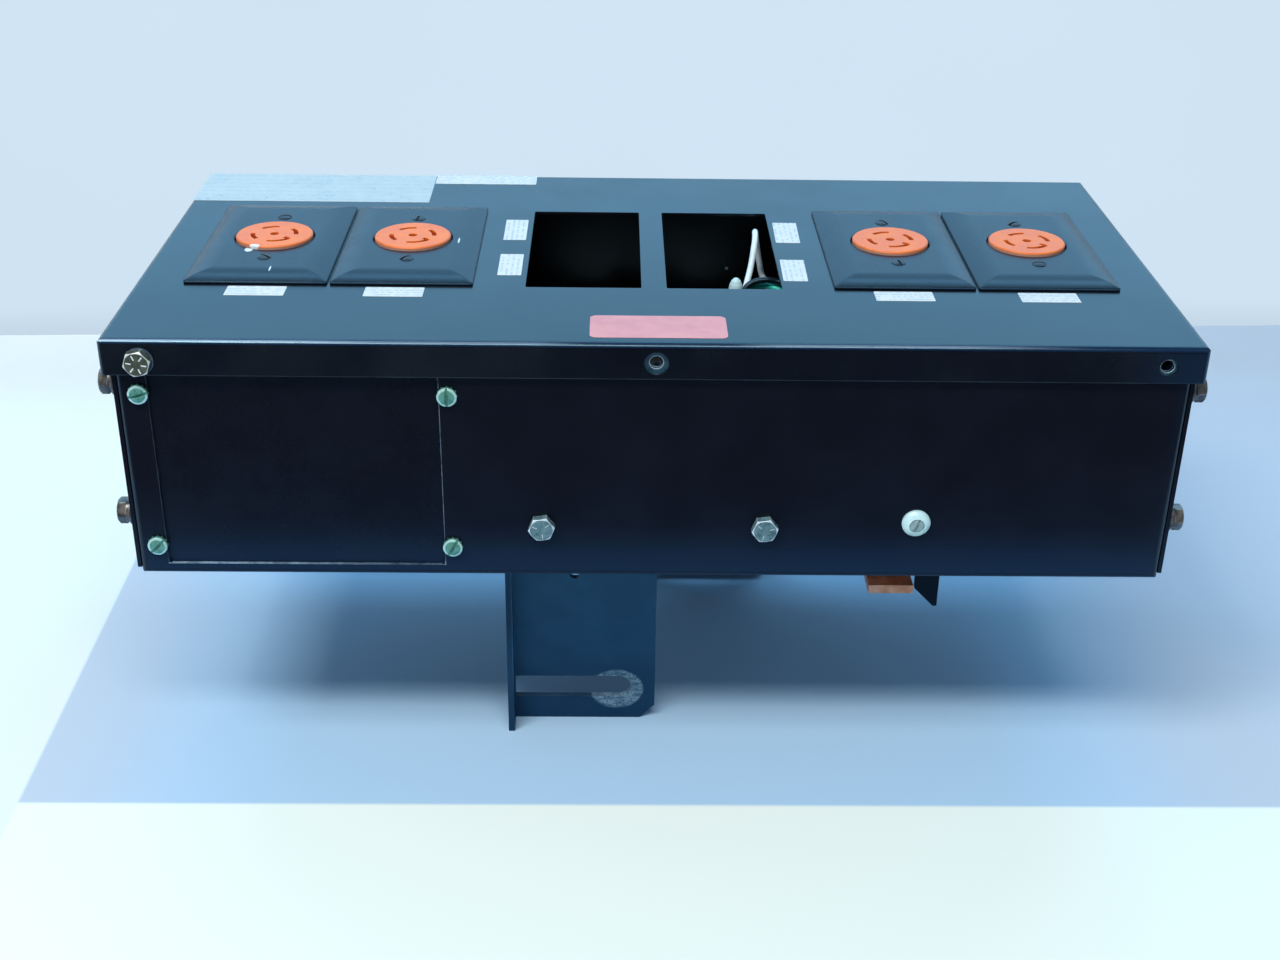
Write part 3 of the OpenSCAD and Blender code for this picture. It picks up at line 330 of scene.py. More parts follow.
def inner_pale_spot(tree, coords, tone, roughness, height):
    """A small pale spot on the inside of the back wall."""
    chip = blob(tree, coords, (0.0467, 0.1180, 0.1840), (0.0011, 0.003, 0.0011))
    return mix(tree, chip, tone, (0.72, 0.74, 0.70)), roughness, height


def lid_painted_light(tree, coords, tone, roughness, height):
    """Painted light on the lid's front: a highlight along the skirt's lower edge, a dark blue reflection on
    the bend with a broken pale highlight line, and a floor reflection on the upright skirt.
    """
    x, _, z = axes(tree, coords)
    # face_z runs from 0 on the upright skirt to 1 on the level lid
    _, face_y, face_z = facing(tree)
    # Painted highlight along the skirt's lower edge.
    low = calc(tree, "LESS_THAN", z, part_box("lid_skirt")[0].z + 0.0004)
    patch = span(tree, noise(tree, coords, 60, 4, 0.7), 0.3, 0.7, 0.35, 0.9)
    tone = mix(tree, calc(tree, "MULTIPLY", low, patch), tone, (0.024, 0.036, 0.050))
    # Painted reflection: a dark blue band round the front bend.
    front = span(tree, face_y, -0.25, -0.4)
    curve = times(tree, front, span(tree, face_z, 0.25, 0.5), span(tree, face_z, 0.985, 0.94))
    tone = mix(tree, curve, tone, (0.0040, 0.016, 0.045))
    # Painted floor reflection on the upright skirt.
    upright = times(tree, span(tree, face_z, 0.3, 0.1), span(tree, face_y, -0.7, -0.9))
    tone = mix(tree, upright, tone, painted_floor_reflection(tree, coords, tone, (0.205, 0.25)))
    # Painted highlight: a broken pale line low on the bend, weaker to the right.
    line = times(tree, span(tree, face_z, 0.62, 0.72), span(tree, face_z, 0.92, 0.84), front,
                 span(tree, noise(tree, coords, 90, 4, 0.7), 0.24, 0.36),
                 span(tree, x, -0.17, -0.12, 1.0, 0.55),
                 span(tree, calc(tree, "ABSOLUTE", x), 0.030, 0.060, 0.06, 1.0),
                 span(tree, x, 0.20, 0.13))
    return mix(tree, line, tone, (0.24, 0.31, 0.40)), roughness, height


# Centre and half size of each chip of white paint and of the scratch, in m
PLATE_FLECKS = (
    ((-0.2017, -0.0154, 0.2414), (0.0022, 0.0034, 0.003)),
    ((-0.1865, -0.0414, 0.2412), (0.0004, 0.0032, 0.003)),
    ((-0.0983, 0.0011, 0.2404), (0.0005, 0.0050, 0.003)),
)


def plate_flecks_and_sheen(tree, coords, tone, roughness, height):
    """Chips of white paint by the first receptacle, a light scratch on the second plate, and a painted paler
    blue reflection on the plates' upper sides.
    """
    for centre, size in PLATE_FLECKS:
        ragged = span(tree, noise(tree, coords, 900, 2, 0.5), 0.25, 0.4)
        fleck = calc(tree, "MULTIPLY", blob(tree, coords, centre, size, 0.25), ragged)
        tone = mix(tree, fleck, tone, (0.80, 0.88, 0.90))
    foot_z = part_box("wall_plate_1")[0].z
    _, face_y, face_z = facing(tree)
    above = span(tree, axes(tree, coords)[2], foot_z + 0.0004, foot_z + 0.0009)
    # Painted reflection: the upper sides take the slopes' paler blue.
    shoulder = times(tree, span(tree, face_z, 0.35, 0.15), above, span(tree, face_y, 0.0, -0.5, 0.35, 1.0))
    return mix(tree, shoulder, tone, (0.030, 0.075, 0.125)), roughness, height


def orange_light_top(tree, coords, tone, roughness, height):
    """Painted orange light: the black body's upward faces, seen through the face's slots, take the face's
    orange.
    """
    return mix(tree, span(tree, facing(tree)[2], 0.8, 0.95), tone, (0.42, 0.045, 0.010)), roughness, height


def rim_highlight(node, inner, colour):
    """A painted highlight on the sloping rim of each bolt or screw head, brighter than its middle.
    inner is the middle's share of the head's radius."""
    def go(tree, coords, tone, roughness, height):
        middle = None
        for lo, hi in islands(node):
            radius = (hi.x - lo.x) / 2 * inner
            head = blob(tree, coords, (lo + hi) / 2, (radius, 0.06, radius), 0.10)
            middle = head if middle is None else calc(tree, "MAXIMUM", middle, head)
        patch = span(tree, noise(tree, coords, 500, 3, 0.6), 0.3, 0.6, 0.7, 1.0)
        # slope is 1 on a head's level face and 0 on its sides
        slope = calc(tree, "ABSOLUTE", facing(tree, "True Normal")[1])
        rim = times(tree, calc(tree, "SUBTRACT", 1.0, middle), patch,
                    span(tree, slope, 0.05, 0.15), span(tree, slope, 0.985, 0.96))
        return mix(tree, rim, tone, colour), roughness, height
    return go


# ------------------------------------------------------------------ materials
DARK = ((0.0038, 0.0029, 0.0058), (0.0054, 0.0043, 0.0086))
SATIN = dict(tint=COOL, spec=0.45, rough=(0.20, 0.27), scale=26, grain=1500, bump=0.06, depth=0.05)
PAINT = surface("case_paint", *DARK, scratch=(SCRATCH_PALE, 0.22, 0.24), extra=inner_pale_spot, **SATIN)
FRONT = surface("case_front_paint", *DARK, scratch=(SCRATCH_PALE, 0.22, 0.20), extra=cut_edge_highlights, **SATIN)
LID = surface("lid_paint", (0.0026, 0.0022, 0.0044), (0.0036, 0.0032, 0.0062), spec=0.487,
              tint=(0.56, 0.89, 0.98), scratch=(SCRATCH_PALE, 0.22, 0.26), dust=((0.3, 0.36, 0.4), 0.035),
              extra=lid_painted_light, rough=(0.17, 0.24), scale=26, grain=1500, bump=0.05, depth=0.05)
COVER = surface("cover_paint", (0.0036, 0.0028, 0.0056), (0.0052, 0.0042, 0.0084), rough=(0.24, 0.32),
                spec=0.4, tint=COOL, scratch=(SCRATCH_PALE, 0.22, 0.22), extra=cover_floor_reflection)
TAB = surface("tab_paint", *DARK, spec=0.22, tint=COOL, rough=(0.30, 0.38))
BLUE = ((0.0120, 0.062, 0.130), (0.0170, 0.082, 0.165))
BLUE_COAT = dict(spec=0.25, tint=COOL, edge=((0.2, 0.22, 0.24), 0.7, 0.0006), rough=(0.40, 0.50), scale=40,
                 bevel=0.0004)
BRACKET_FRONT = surface("front_bracket_paint", *BLUE, extra=bracket_wear_and_shade(1), **BLUE_COAT)
BRACKET_REAR = surface("rear_bracket_paint", *BLUE, extra=bracket_wear_and_shade(-1), **BLUE_COAT)
PLATE = surface("wall_plate_enamel", (0.0030, 0.0062, 0.0130), (0.0044, 0.0085, 0.0175), tint=COOL,
                rough=(0.22, 0.28), scale=50, grain=900, bump=0.03, spec=0.29, bevel=0.0014,
                extra=plate_flecks_and_sheen)
PLATE_SCREW = surface("plate_screw_black", (0.006, 0.008, 0.013), (0.012, 0.015, 0.02), rough=(0.3, 0.42),
                      spec=0.5, edge=((0.25, 0.27, 0.28), 0.7, 0.0003), bevel=0.0003)
INNER = surface("inner_pan_paint", (0.004, 0.005, 0.008), (0.008, 0.009, 0.013), rough=(0.5, 0.6))

# Edges given as even, here and below, are painted highlights along the edges, and the rims that the extras
# add are painted highlights too.
ZINC = surface("zinc_plate", (0.36, 0.42, 0.42), (0.62, 0.68, 0.67), metal=0.45, rough=(0.22, 0.38),
               scale=260, grain=2600, bump=0.14, depth=0.06, bevel=0.0004,
               edge=((0.92, 0.95, 0.95), 0.9, 0.0007, "even"))
ZINC_BLUE = surface("blue_zinc", (0.07, 0.15, 0.17), (0.19, 0.31, 0.33), metal=0.3, rough=(0.22, 0.38),
                    scale=260, grain=2600, bump=0.14, depth=0.06, bevel=0.0003,
                    edge=((0.86, 0.93, 0.96), 0.95, 0.0009, "even"),
                    extra=rim_highlight("breaker_pan_bolts", 0.78, (0.78, 0.86, 0.90)))
ZINC_LIGHT = surface("bright_zinc", (0.045, 0.040, 0.040), (0.22, 0.195, 0.165), metal=0.5,
                     rough=(0.26, 0.40), scale=240, grain=2600, bump=0.10, depth=0.06, bevel=0.0004,
                     edge=((0.9, 0.88, 0.86), 0.7, 0.0005))
ZINC_OLIVE = surface("olive_zinc", (0.06, 0.07, 0.045), (0.13, 0.14, 0.10), metal=0.35, rough=(0.26, 0.40),
                     scale=260, grain=2600, bump=0.14, depth=0.06, bevel=0.0003,
                     edge=((0.97, 0.98, 1.0), 0.95, 0.0008, "even"),
                     extra=rim_highlight("lid_bolts", 0.78, (0.78, 0.78, 0.72)))
ZINC_GREEN = surface("green_zinc", (0.08, 0.25, 0.19), (0.15, 0.38, 0.30), metal=0.3, rough=(0.24, 0.38),
                     scale=300, grain=2600, bump=0.10, depth=0.05, bevel=0.0003,
                     extra=rim_highlight("access_cover_screws", 0.82, (0.50, 0.76, 0.70)))
WASHER_GREEN = surface("green_lock_washer_zinc", (0.05, 0.12, 0.10), (0.12, 0.24, 0.20), metal=0.4,
                       rough=(0.3, 0.4), scale=300, grain=2600)
SOFT_ZINC = surface("dull_zinc", (0.26, 0.36, 0.36), (0.36, 0.47, 0.47), metal=0.2, rough=(0.4, 0.5),
                    scale=500, grain=2600, bump=0.2)
# The grade marks' pale colour is rubbed zinc and a painted highlight.
MARK = surface("rubbed_zinc_and_highlight", (0.70, 0.74, 0.74), (0.90, 0.93, 0.92), metal=0.2, rough=(0.3, 0.4), scale=300)
DARK_ZINC = surface("dark_washer_zinc", (0.02, 0.045, 0.075), (0.05, 0.09, 0.13), metal=0.4,
                    rough=(0.3, 0.42), scale=300, grain=2600,
                    edge=((0.25, 0.36, 0.44), 0.8, 0.0004, "even"))
SPRING = surface("spring_steel", (0.46, 0.50, 0.53), (0.62, 0.66, 0.68), metal=1.0, rough=(0.25, 0.36),
                 scale=160)
CLIP = surface("dark_clip_steel", (0.018, 0.055, 0.085), (0.035, 0.095, 0.135), metal=0.1, rough=(0.25, 0.4),
               scale=200, grain=2600, bump=0.12, edge=((0.72, 0.92, 1.0), 0.95, 0.0008, "even"), bevel=0.0003)
GALVANISED = surface("galvanised_steel", (0.34, 0.35, 0.36), (0.52, 0.54, 0.55), metal=1.0,
                     rough=(0.32, 0.48), scale=120, grain=900)
COPPER = surface("bare_copper", (0.64, 0.23, 0.10), (0.90, 0.46, 0.29), metal=0.3, rough=(0.28, 0.44),
                 scale=130, grain=1800, bump=0.12, edge=((0.85, 0.55, 0.40), 0.8, 0.0006), bevel=0.0004)
BRASS = surface("plain_brass", (0.55, 0.40, 0.18), (0.72, 0.56, 0.28), metal=1.0, rough=(0.26, 0.4),
                scale=200)

BLACK_PLASTIC = dict(rough=(0.48, 0.6), scale=70, grain=1600, bump=0.2)
MOULDED = surface("moulded_black", (0.010, 0.010, 0.012), (0.020, 0.020, 0.023), **BLACK_PLASTIC)
BODY = surface("receptacle_black", (0.010, 0.010, 0.012), (0.020, 0.020, 0.023), extra=orange_light_top,
               **BLACK_PLASTIC)
NYLON = surface("white_nylon", (0.46, 0.66, 0.66), (0.60, 0.78, 0.78), rough=(0.28, 0.38), scale=160,
                grain=1200, bump=0.05, spec=0.5)
LEAD_WHITE = surface("white_insulation_gloss", (0.70, 0.80, 0.82), (0.82, 0.90, 0.91), rough=(0.24, 0.34),
                     scale=140)
LEAD_BLACK = surface("black_insulation_gloss", (0.003, 0.008, 0.013), (0.006, 0.013, 0.020),
                     rough=(0.26, 0.36), scale=140, spec=0.35, tint=COOL)
LEAD_GREEN = surface("green_insulation_gloss", (0.012, 0.50, 0.34), (0.02, 0.62, 0.44), rough=(0.22, 0.32),
                     scale=140)


def orange(k):
    """Orange nylon: a brownish tone round its side and a deeper orange in its slots, both painted shading of
    the one nylon colour, and a pale spot on the first one.
    """
    lo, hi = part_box("receptacle_face_%d" % k)
    centre = (lo + hi) / 2

    def go(tree, coords, tone, roughness, height):
        on_top = span(tree, axes(tree, coords)[2], hi.z - 0.0012, hi.z - 0.0004)
        slots = blob(tree, coords, centre, (0.0178, 0.0178, 1.0), 0.03)
        below = mix(tree, slots, (0.60, 0.29, 0.20), (0.62, 0.085, 0.018))
        tone = mix(tree, on_top, below, tone)
        grime = span(tree, noise(tree, coords, 260, 4, 0.7), 0.5, 0.75)
        tone = mix(tree, calc(tree, "MULTIPLY", grime, 0.18), tone, (0.30, 0.12, 0.07))
        if k == 1:
            spot = blob(tree, coords, (-0.1995, -0.0138, hi.z), (0.0034, 0.0020, 0.003), 0.3)
            tone = mix(tree, spot, tone, (0.8, 0.82, 0.8))
        return tone, roughness, height
    return surface("orange_nylon_%d" % k, (0.86, 0.150, 0.012), (0.95, 0.200, 0.020), rough=(0.34, 0.44),
                   scale=70, grain=1100, bump=0.08, spec=0.4, extra=go, bevel=0.0003)


WEARS = {
    FRONT: ["case_front_wall"],
    PAINT: ["case_floor", "case_bends", "case_back_wall", "left_end_flange", "right_end_flange",
            "left_end_plate", "right_end_plate"],
    COVER: ["access_cover"],
    TAB: ["guide_tab"],
    LID: ["lid", "lid_skirt"],
    BRACKET_FRONT: ["front_hanger_bracket"],
    BRACKET_REAR: ["rear_hanger_bracket"],
    PLATE: ["wall_plate_1", "wall_plate_2", "wall_plate_3", "wall_plate_4"],
    PLATE_SCREW: ["wall_plate_screws"],
    ZINC_BLUE: ["breaker_pan_bolts"],
    ZINC: ["hex_nuts", "hanger_bolts", "stab_base_screws", "rail_screws",
           "ground_stab_nut", "guide_tab_screws", "strap_screws"],
    SOFT_ZINC: ["ground_stab_screw"],
    CLIP: ["spare_clip_nuts"],
    ZINC_LIGHT: ["end_plate_bolts", "end_plate_lock_washers", "end_plate_flat_washers"],
    ZINC_OLIVE: ["lid_bolts"],
    ZINC_GREEN: ["access_cover_screws"],
    WASHER_GREEN: ["access_cover_lock_washers"],
    SPRING: ["lid_bolt_clip_nuts", "receptacle_straps"],
    GALVANISED: ["left_din_rail", "right_din_rail", "rail_stand"],
    INNER: ["breaker_pan"],
    COPPER: ["phase_stabs", "neutral_stab", "ground_stab"],
    BRASS: ["terminal_screws"],
    MOULDED: ["stab_base"],
    BODY: ["receptacle_body_1", "receptacle_body_2", "receptacle_body_3", "receptacle_body_4"],
    NYLON: ["ground_bushing", "ground_spacer", "wire_connector"],
    LEAD_WHITE: ["neutral_leads"],
    LEAD_BLACK: ["phase_lead"],
    LEAD_GREEN: ["ground_lead"],
}
for k in range(1, 5):
    WEARS[orange(k)] = ["receptacle_face_%d" % k]
for material, names in WEARS.items():
    for node in names:
        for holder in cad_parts[node].material_slots:
            holder.material = material
bare_nodes = set(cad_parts) - {node for names in WEARS.values() for node in names}
assert not bare_nodes, bare_nodes

# ------------------------------------------------------------------ pieces


def piece(name, build, material, body):
    """A visible piece that rides on a body; build(shape) makes its mesh."""
    shape = bmesh.new()
    build(shape)
    mesh = bpy.data.meshes.new(name)
    shape.normal_update()
    shape.to_mesh(mesh)
    shape.free()
    mesh.materials.append(material)
    item = bpy.data.objects.new(name, mesh)
    scene.collection.objects.link(item)
    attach(item, body)
    return item


CORNER_STEPS = 6


def sticker(left, right, front, back, z, radius, thick=0.00012, turn=0.0):
    """A thin label with round corners and a fine bevel, lying on a level face."""
    def go(shape):
        outline = []
        for x, y, start in ((right - radius, back - radius, 0), (left + radius, back - radius, 90),
                            (left + radius, front + radius, 180), (right - radius, front + radius, 270)):
            for i in range(CORNER_STEPS + 1):
                angle = math.radians(start + 90 / CORNER_STEPS * i)
                outline.append((x + radius * math.cos(angle), y + radius * math.sin(angle)))
        middle = Vector(((left + right) / 2, (front + back) / 2, 0))
        turned = Matrix.Rotation(math.radians(turn), 4, "Z")
        rings = []
        for inset, h in ((0, 0), (0, thick * 0.7), (thick * 0.6, thick)):
            ring = []
            for x, y in outline:
                arm = Vector((x, y, 0)) - middle
                arm = arm * (1 - inset / arm.length)
                ring.append(shape.verts.new(turned @ arm + middle + Vector((0, 0, z + h))))
            rings.append(ring)
        count = len(outline)
        for a, b in zip(rings, rings[1:]):
            for i in range(count):
                shape.faces.new((a[i], a[(i + 1) % count], b[(i + 1) % count], b[i]))
        shape.faces.new(rings[-1])
        shape.faces.new(list(reversed(rings[0])))
    return go


# Ruled dashes: a bar's share of the pitch, dashes to the metre, and the shift from row to row
BAR_SHARE = 0.38
DASHES = 420
ROW_SHIFT = 7.3


def label_mat(name, a, b, rough=(0.3, 0.42), bars=None):
    """Label film; bars = (axis the bars run along, pitch, ink) draws plain ruled dashes, not lettering."""
    def go(tree, coords, tone, roughness, height):
        wave = noise(tree, coords, 55, 3, 0.5)
        height = calc(tree, "ADD", calc(tree, "MULTIPLY", height, 0.15), wave)
        stain = span(tree, noise(tree, coords, 240, 5, 0.75), 0.6, 0.85)
        tone = mix(tree, calc(tree, "MULTIPLY", stain, 0.12), tone, (0.30, 0.34, 0.36))
        if bars:
            axis, pitch, ink = bars
            parts = axes(tree, coords)
            row = calc(tree, "DIVIDE", parts[1 - axis], pitch)
            line = calc(tree, "LESS_THAN", calc(tree, "FRACT", row), BAR_SHARE)
            along = calc(tree, "MULTIPLY", parts[axis], DASHES)
            shifted = calc(tree, "MULTIPLY", calc(tree, "FLOOR", row), ROW_SHIFT)
            step = put(tree, "CombineXYZ", {0: along, 1: shifted}).outputs[0]
            breaks = put(tree, "TexNoise", {"Vector": step}, Scale=1.0, Detail=0.0).outputs[0]
            dash = span(tree, breaks, 0.44, 0.50)
            tone = mix(tree, times(tree, line, dash, ink), tone, (0.22, 0.33, 0.42))
        return tone, roughness, height
    return surface(name, a, b, rough=rough, scale=90, grain=1500, bump=0.3, depth=0.12, extra=go, spec=0.4)


PAPER = ((0.65, 0.61, 0.545), (0.71, 0.665, 0.60))
SILVER = label_mat("bare_rating_foil", (0.44, 0.47, 0.45), (0.50, 0.53, 0.50), rough=(0.26, 0.36),
                   bars=(0, 0.0068, 0.22))
WHITE = label_mat("bare_white_label", *PAPER, bars=(0, 0.0030, 0.45))
WHITE_UP = label_mat("bare_white_label_upright", *PAPER, bars=(1, 0.0026, 0.45))
RED = label_mat("bare_red_label", (0.64, 0.21, 0.20), (0.72, 0.27, 0.25))

# Name, left, right, front and back edge and corner radius in mm, material, turn in degrees
LABELS = (
    ("rating_plate", -249, -120.6, 72.5, 120.3, 0.6, SILVER, 0),
    ("mark_plate", -120.2, -63.5, 105.8, 121.8, 0.5, WHITE, 0),
    ("circuit_label_1", -76.6, -64.9, -37.8, -8.0, 0.6, WHITE_UP, 0),
    ("circuit_label_2", -76.6, -64.9, 13.3, 44.9, 0.6, WHITE_UP, 0),
    ("circuit_label_3", 63.8, 75.9, -42.4, -12.6, 0.6, WHITE_UP, -1),
    ("circuit_label_4", 64.6, 77.2, 12.7, 44.1, 0.6, WHITE_UP, -1),
    ("outlet_label_1", -204.3, -176.0, -67.5, -55.5, 0.6, WHITE, 0),
    ("outlet_label_2", -138.5, -110.2, -67.5, -55.5, 0.6, WHITE, 0),
    ("outlet_label_3", 105.8, 134.1, -67.5, -55.5, 0.6, WHITE, 0),
    ("outlet_label_4", 175.5, 203.8, -67.6, -55.6, 0.6, WHITE, 0),
    ("plain_red_label", -30.3, 32.4, -115.3, -89.0, 3.0, RED, 0),
)
lid_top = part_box("lid")[1].z
for name, left, right, front, back, radius, material, turn in LABELS:
    label = sticker(left * MM, right * MM, front * MM, back * MM, lid_top, radius * MM, turn=turn)
    piece(name, label, material, "lid_assembly")


def head_faces(node, axis_index):
    """For each bolt of a node: the centre of its head's face, the outward axis and a random turn."""
    spots = []
    for lo, hi in islands(node):
        centre = (lo + hi) / 2
        side = -1 if centre[axis_index] < 0 else 1
        centre[axis_index] = lo[axis_index] if side < 0 else hi[axis_index]
        axis = Vector((0, 0, 0))
        axis[axis_index] = side
        spots.append((centre, axis, draws.uniform(0, 120)))
    return spots


# A grade line's middle from the head's centre, how far its middle is under the face, length and thickness
MARK_OUT = 0.0034
MARK_SUNK = 0.00013
MARK_LONG = 0.0026
MARK_THICK = 0.0003


def head_marks(spots, count=3, width=0.00045):
    """Raised radial grade lines on each hex head. spots is what head_faces gives."""
    def go(shape):
        for centre, axis, turn in spots:
            stand = Matrix.Translation(centre) @ axis.to_track_quat("Z", "Y").to_matrix().to_4x4()
            for k in range(count):
                angle = math.radians(360 / count * k + turn)
                place = stand @ Matrix.Rotation(angle, 4, "Z") @ Matrix.Translation((MARK_OUT, 0, -MARK_SUNK))
                size = Matrix.Diagonal((MARK_LONG, width, MARK_THICK, 1))
                bar = bmesh.ops.create_cube(shape, size=1, matrix=place @ size)
                edges = list({e for v in bar["verts"] for e in v.link_edges})
                bmesh.ops.bevel(shape, geom=edges, offset=0.0001, segments=2, affect="EDGES")
    return go


def collars(node, shift, radius, height):
    """A loose round collar under each hex head, standing on the skirt."""
    wall = abs(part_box("lid_skirt")[0].y)

    def go(shape):
        for lo, hi in islands(node):
            head = (lo + hi) / 2
            side = -1 if head.y < 0 else 1
            centre = (head.x + shift[0], side * (wall + height / 2), head.z + shift[1])
            place = Matrix.Translation(centre)
            cone = bmesh.ops.create_cone(shape, cap_ends=True, segments=40, radius1=radius, radius2=radius,
                                         depth=height, matrix=place @ Matrix.Rotation(math.pi / 2, 4, "X"))
            edges = {e for v in cone["verts"] for e in v.link_edges}
            rim = [e for e in edges if abs(e.verts[0].co.y - e.verts[1].co.y) < 1e-6]
            bmesh.ops.bevel(shape, geom=rim, offset=0.0002, segments=2, affect="EDGES")
    return go


piece("lid_bolt_collars", collars("lid_bolts", (0.0002, -0.0003), 0.0064, 0.0012), DARK_ZINC,
      "lid_assembly")
piece("pan_bolt_grade_marks", head_marks(head_faces("breaker_pan_bolts", 1)), MARK, "case")
piece("end_bolt_grade_marks", head_marks(head_faces("end_plate_bolts", 0)), ZINC_LIGHT, "case")
piece("lid_bolt_grade_marks", head_marks(head_faces("lid_bolts", 1), 6, 0.0008), MARK, "lid_assembly")

# ------------------------------------------------------------------ leads, in mm
NUT = Vector((42.9, 5, 199))
RECEPTACLE_X = {3: 121.9, 4: 192.1}
RECEPTACLE_Y = 4
SCREW_RADIUS = 20.46
SCREW_Z = 213.5


def by_screw(k, angle, out, up=0):
    """A point further out than the terminal screw at this angle of receptacle k."""
    a = math.radians(angle)
    reach = SCREW_RADIUS + out
    return Vector((RECEPTACLE_X[k] + math.cos(a) * reach, RECEPTACLE_Y + math.sin(a) * reach, SCREW_Z + up))


def stub(k, angle, up=0):
    """The three points with which a lead leaves its terminal screw."""
    return [by_screw(k, angle, 0), by_screw(k, angle, 3), by_screw(k, angle, 7, up)]


def by_nut(*steps):
    """Points measured from the wire connector."""
    return [NUT + Vector(s) for s in steps]


def smooth(points, steps=8):
    """A Catmull-Rom curve through the points, with this many steps from each to the next."""
    out = []
    for k in range(len(points) - 1):
        a, b, c, d = (points[max(0, min(len(points) - 1, k + i))] for i in (-1, 0, 1, 2))
        for j in range(steps):
            t = j / steps
            bend = (2 * a - 5 * b + 4 * c - d) * t * t + (3 * b - a - 3 * c + d) * t ** 3
            out.append(0.5 * (2 * b + (c - a) * t + bend))
    return out + [points[-1]]


def tubes(routes, radius=1.65, sides=16):
    """A round tube along each route, with its radius in mm."""
    turns = [2 * math.pi * j / sides for j in range(sides)]

    def go(shape):
        for route in routes:
            points = smooth(route)
            side = Vector((0.3, 0.1, 1))
            rings = []
            for k, point in enumerate(points):
                along = (points[min(k + 1, len(points) - 1)] - points[max(k - 1, 0)]).normalized()
                side = (side - side.dot(along) * along).normalized()
                other = side.cross(along)
                ring = []
                for turn in turns:
                    outward = math.cos(turn) * side + math.sin(turn) * other
                    ring.append(shape.verts.new((point + radius * outward) * MM))
                rings.append(ring)
            for a, b in zip(rings, rings[1:]):
                for j in range(sides):
                    f = shape.faces.new((a[j], a[(j + 1) % sides], b[(j + 1) % sides], b[j]))
                    f.smooth = True
            shape.faces.new(rings[0][::-1])
            shape.faces.new(rings[-1])
        bmesh.ops.recalc_face_normals(shape, faces=shape.faces)
    return go


neutral = [
    stub(3, 135) + by_nut(
        (43, 32, -3), (27, 46, -6), (19.7, 52, 3), (17.4, 50, 11), (15.6, 48, 20), (13.9, 45, 29),
        (13.1, 39.5, 33.2), (12.7, 32.5, 32), (11.5, 24.5, 28), (9.8, 18, 21), (7.7, 11, 15.6),
        (6.6, 7.5, 12), (6.6, 6, 4), (5.6, 3, -5), (3.2, 0.5, -5), (2.7, 0, 2), (2.7, 0, 10)),
    stub(4, 135, -2) + by_nut(
        (104, 30, -14), (79, 30, -17), (37, 14, -20), (10, 1, -17), (0, 0, -10), (-0.7, 0, 2), (-0.7, 0, 10)),
]
phase = [
    stub(3, 225) + by_nut(
        (42, -20, 17), (30, -11, 21), (22.4, -6.5, 22.5), (15.5, -6, 23.2), (9.4, -6, 21.8),
        (5.2, -7.5, 18.2), (3.6, -11, 9), (9, -19, -6), (42, -34, -14), (79, -36, -14),
        (112, -32, -6)) + stub(4, 225, -1)[::-1],
]
ground = [
    stub(3, 315) + by_nut(
        (84, -32, 8), (56, -27, 6), (34, -17, 14), (22, -6.5, 18.4), (14.5, -3, 19.2), (8.6, -3.2, 17.6),
        (7.6, -7, 12), (12, -17, 3), (27, -35, -8), (56, -46, -16), (92, -50, -14), (140, -46, -6),
        (166, -28, 8)) + stub(4, 315)[::-1],
]
for name, routes, material, node in (("neutral_lead_tubes", neutral, LEAD_WHITE, "neutral_leads"),
                                     ("phase_lead_tube", phase, LEAD_BLACK, "phase_lead"),
                                     ("ground_lead_tube", ground, LEAD_GREEN, "ground_lead")):
    item = piece(name, tubes(routes), material, "lid_assembly")
    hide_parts(node)

# ------------------------------------------------------------------ stage


def stage_mesh(name, corners, material):
    """A flat four-cornered stage surface."""
    mesh = bpy.data.meshes.new(name)
    mesh.from_pydata(corners, [], [(0, 1, 2, 3)])
    mesh.materials.append(material)
    item = bpy.data.objects.new(name, mesh)
    scene.collection.objects.link(item)


def patchy(tree, coords, tone, share):
    """A tone with large soft patches of share times its brightness."""
    return mix(tree, span(tree, noise(tree, coords, 3, 3), 0.3, 0.7), tone, [c * share for c in tone])


def stage_mat(name, colour, seen=None, glow=None):
    """A matt surface that shows from its front only. colour is a tone, or a function of (tree, parts);
    seen(tree, parts) gives the tone that mirror rays meet; glow is the tone that the camera meets."""
    material = bpy.data.materials.new(name)
    material.use_nodes = True
    tree = material.node_tree
    shader = tree.nodes["Principled BSDF"]
    shader.inputs["Roughness"].default_value = 0.75
    shader.inputs["Specular IOR Level"].default_value = 0.1
    coords = put(tree, "TexCoord").outputs["Object"]
    parts = axes(tree, coords)
    rays = put(tree, "LightPath").outputs
    base = colour(tree, parts) if callable(colour) else patchy(tree, coords, colour, 0.985)
    if seen:
        base = mix(tree, rays["Is Glossy Ray"], base, seen(tree, parts))
    tree.links.new(base, shader.inputs["Base Color"])
    last = shader.outputs[0]
    if glow:
        # Painted contact shadow: the backdrop darkens towards its foot.
        foot = span(tree, parts[2], 0.028, 0.0, 0.0, 0.34)
        shade = mix(tree, foot, patchy(tree, coords, glow, 1.025), [c * 0.70 for c in glow])
        shown = put(tree, "Emission", {"Color": shade}).outputs[0]
        last = put(tree, "MixShader", {0: rays["Is Camera Ray"], 1: last, 2: shown}).outputs[0]
    clear = put(tree, "BsdfTransparent").outputs[0]
    behind = put(tree, "NewGeometry").outputs["Backfacing"]
    last = put(tree, "MixShader", {0: behind, 1: last, 2: clear}).outputs[0]
    tree.links.new(last, tree.nodes["Material Output"].inputs[0])
    return material


# The blue mat's front edge, and its left edge with its lean; each edge fades over a few mm
MAT_FRONT = -0.1480
MAT_LEFT = -0.3132
MAT_LEAN = -0.006


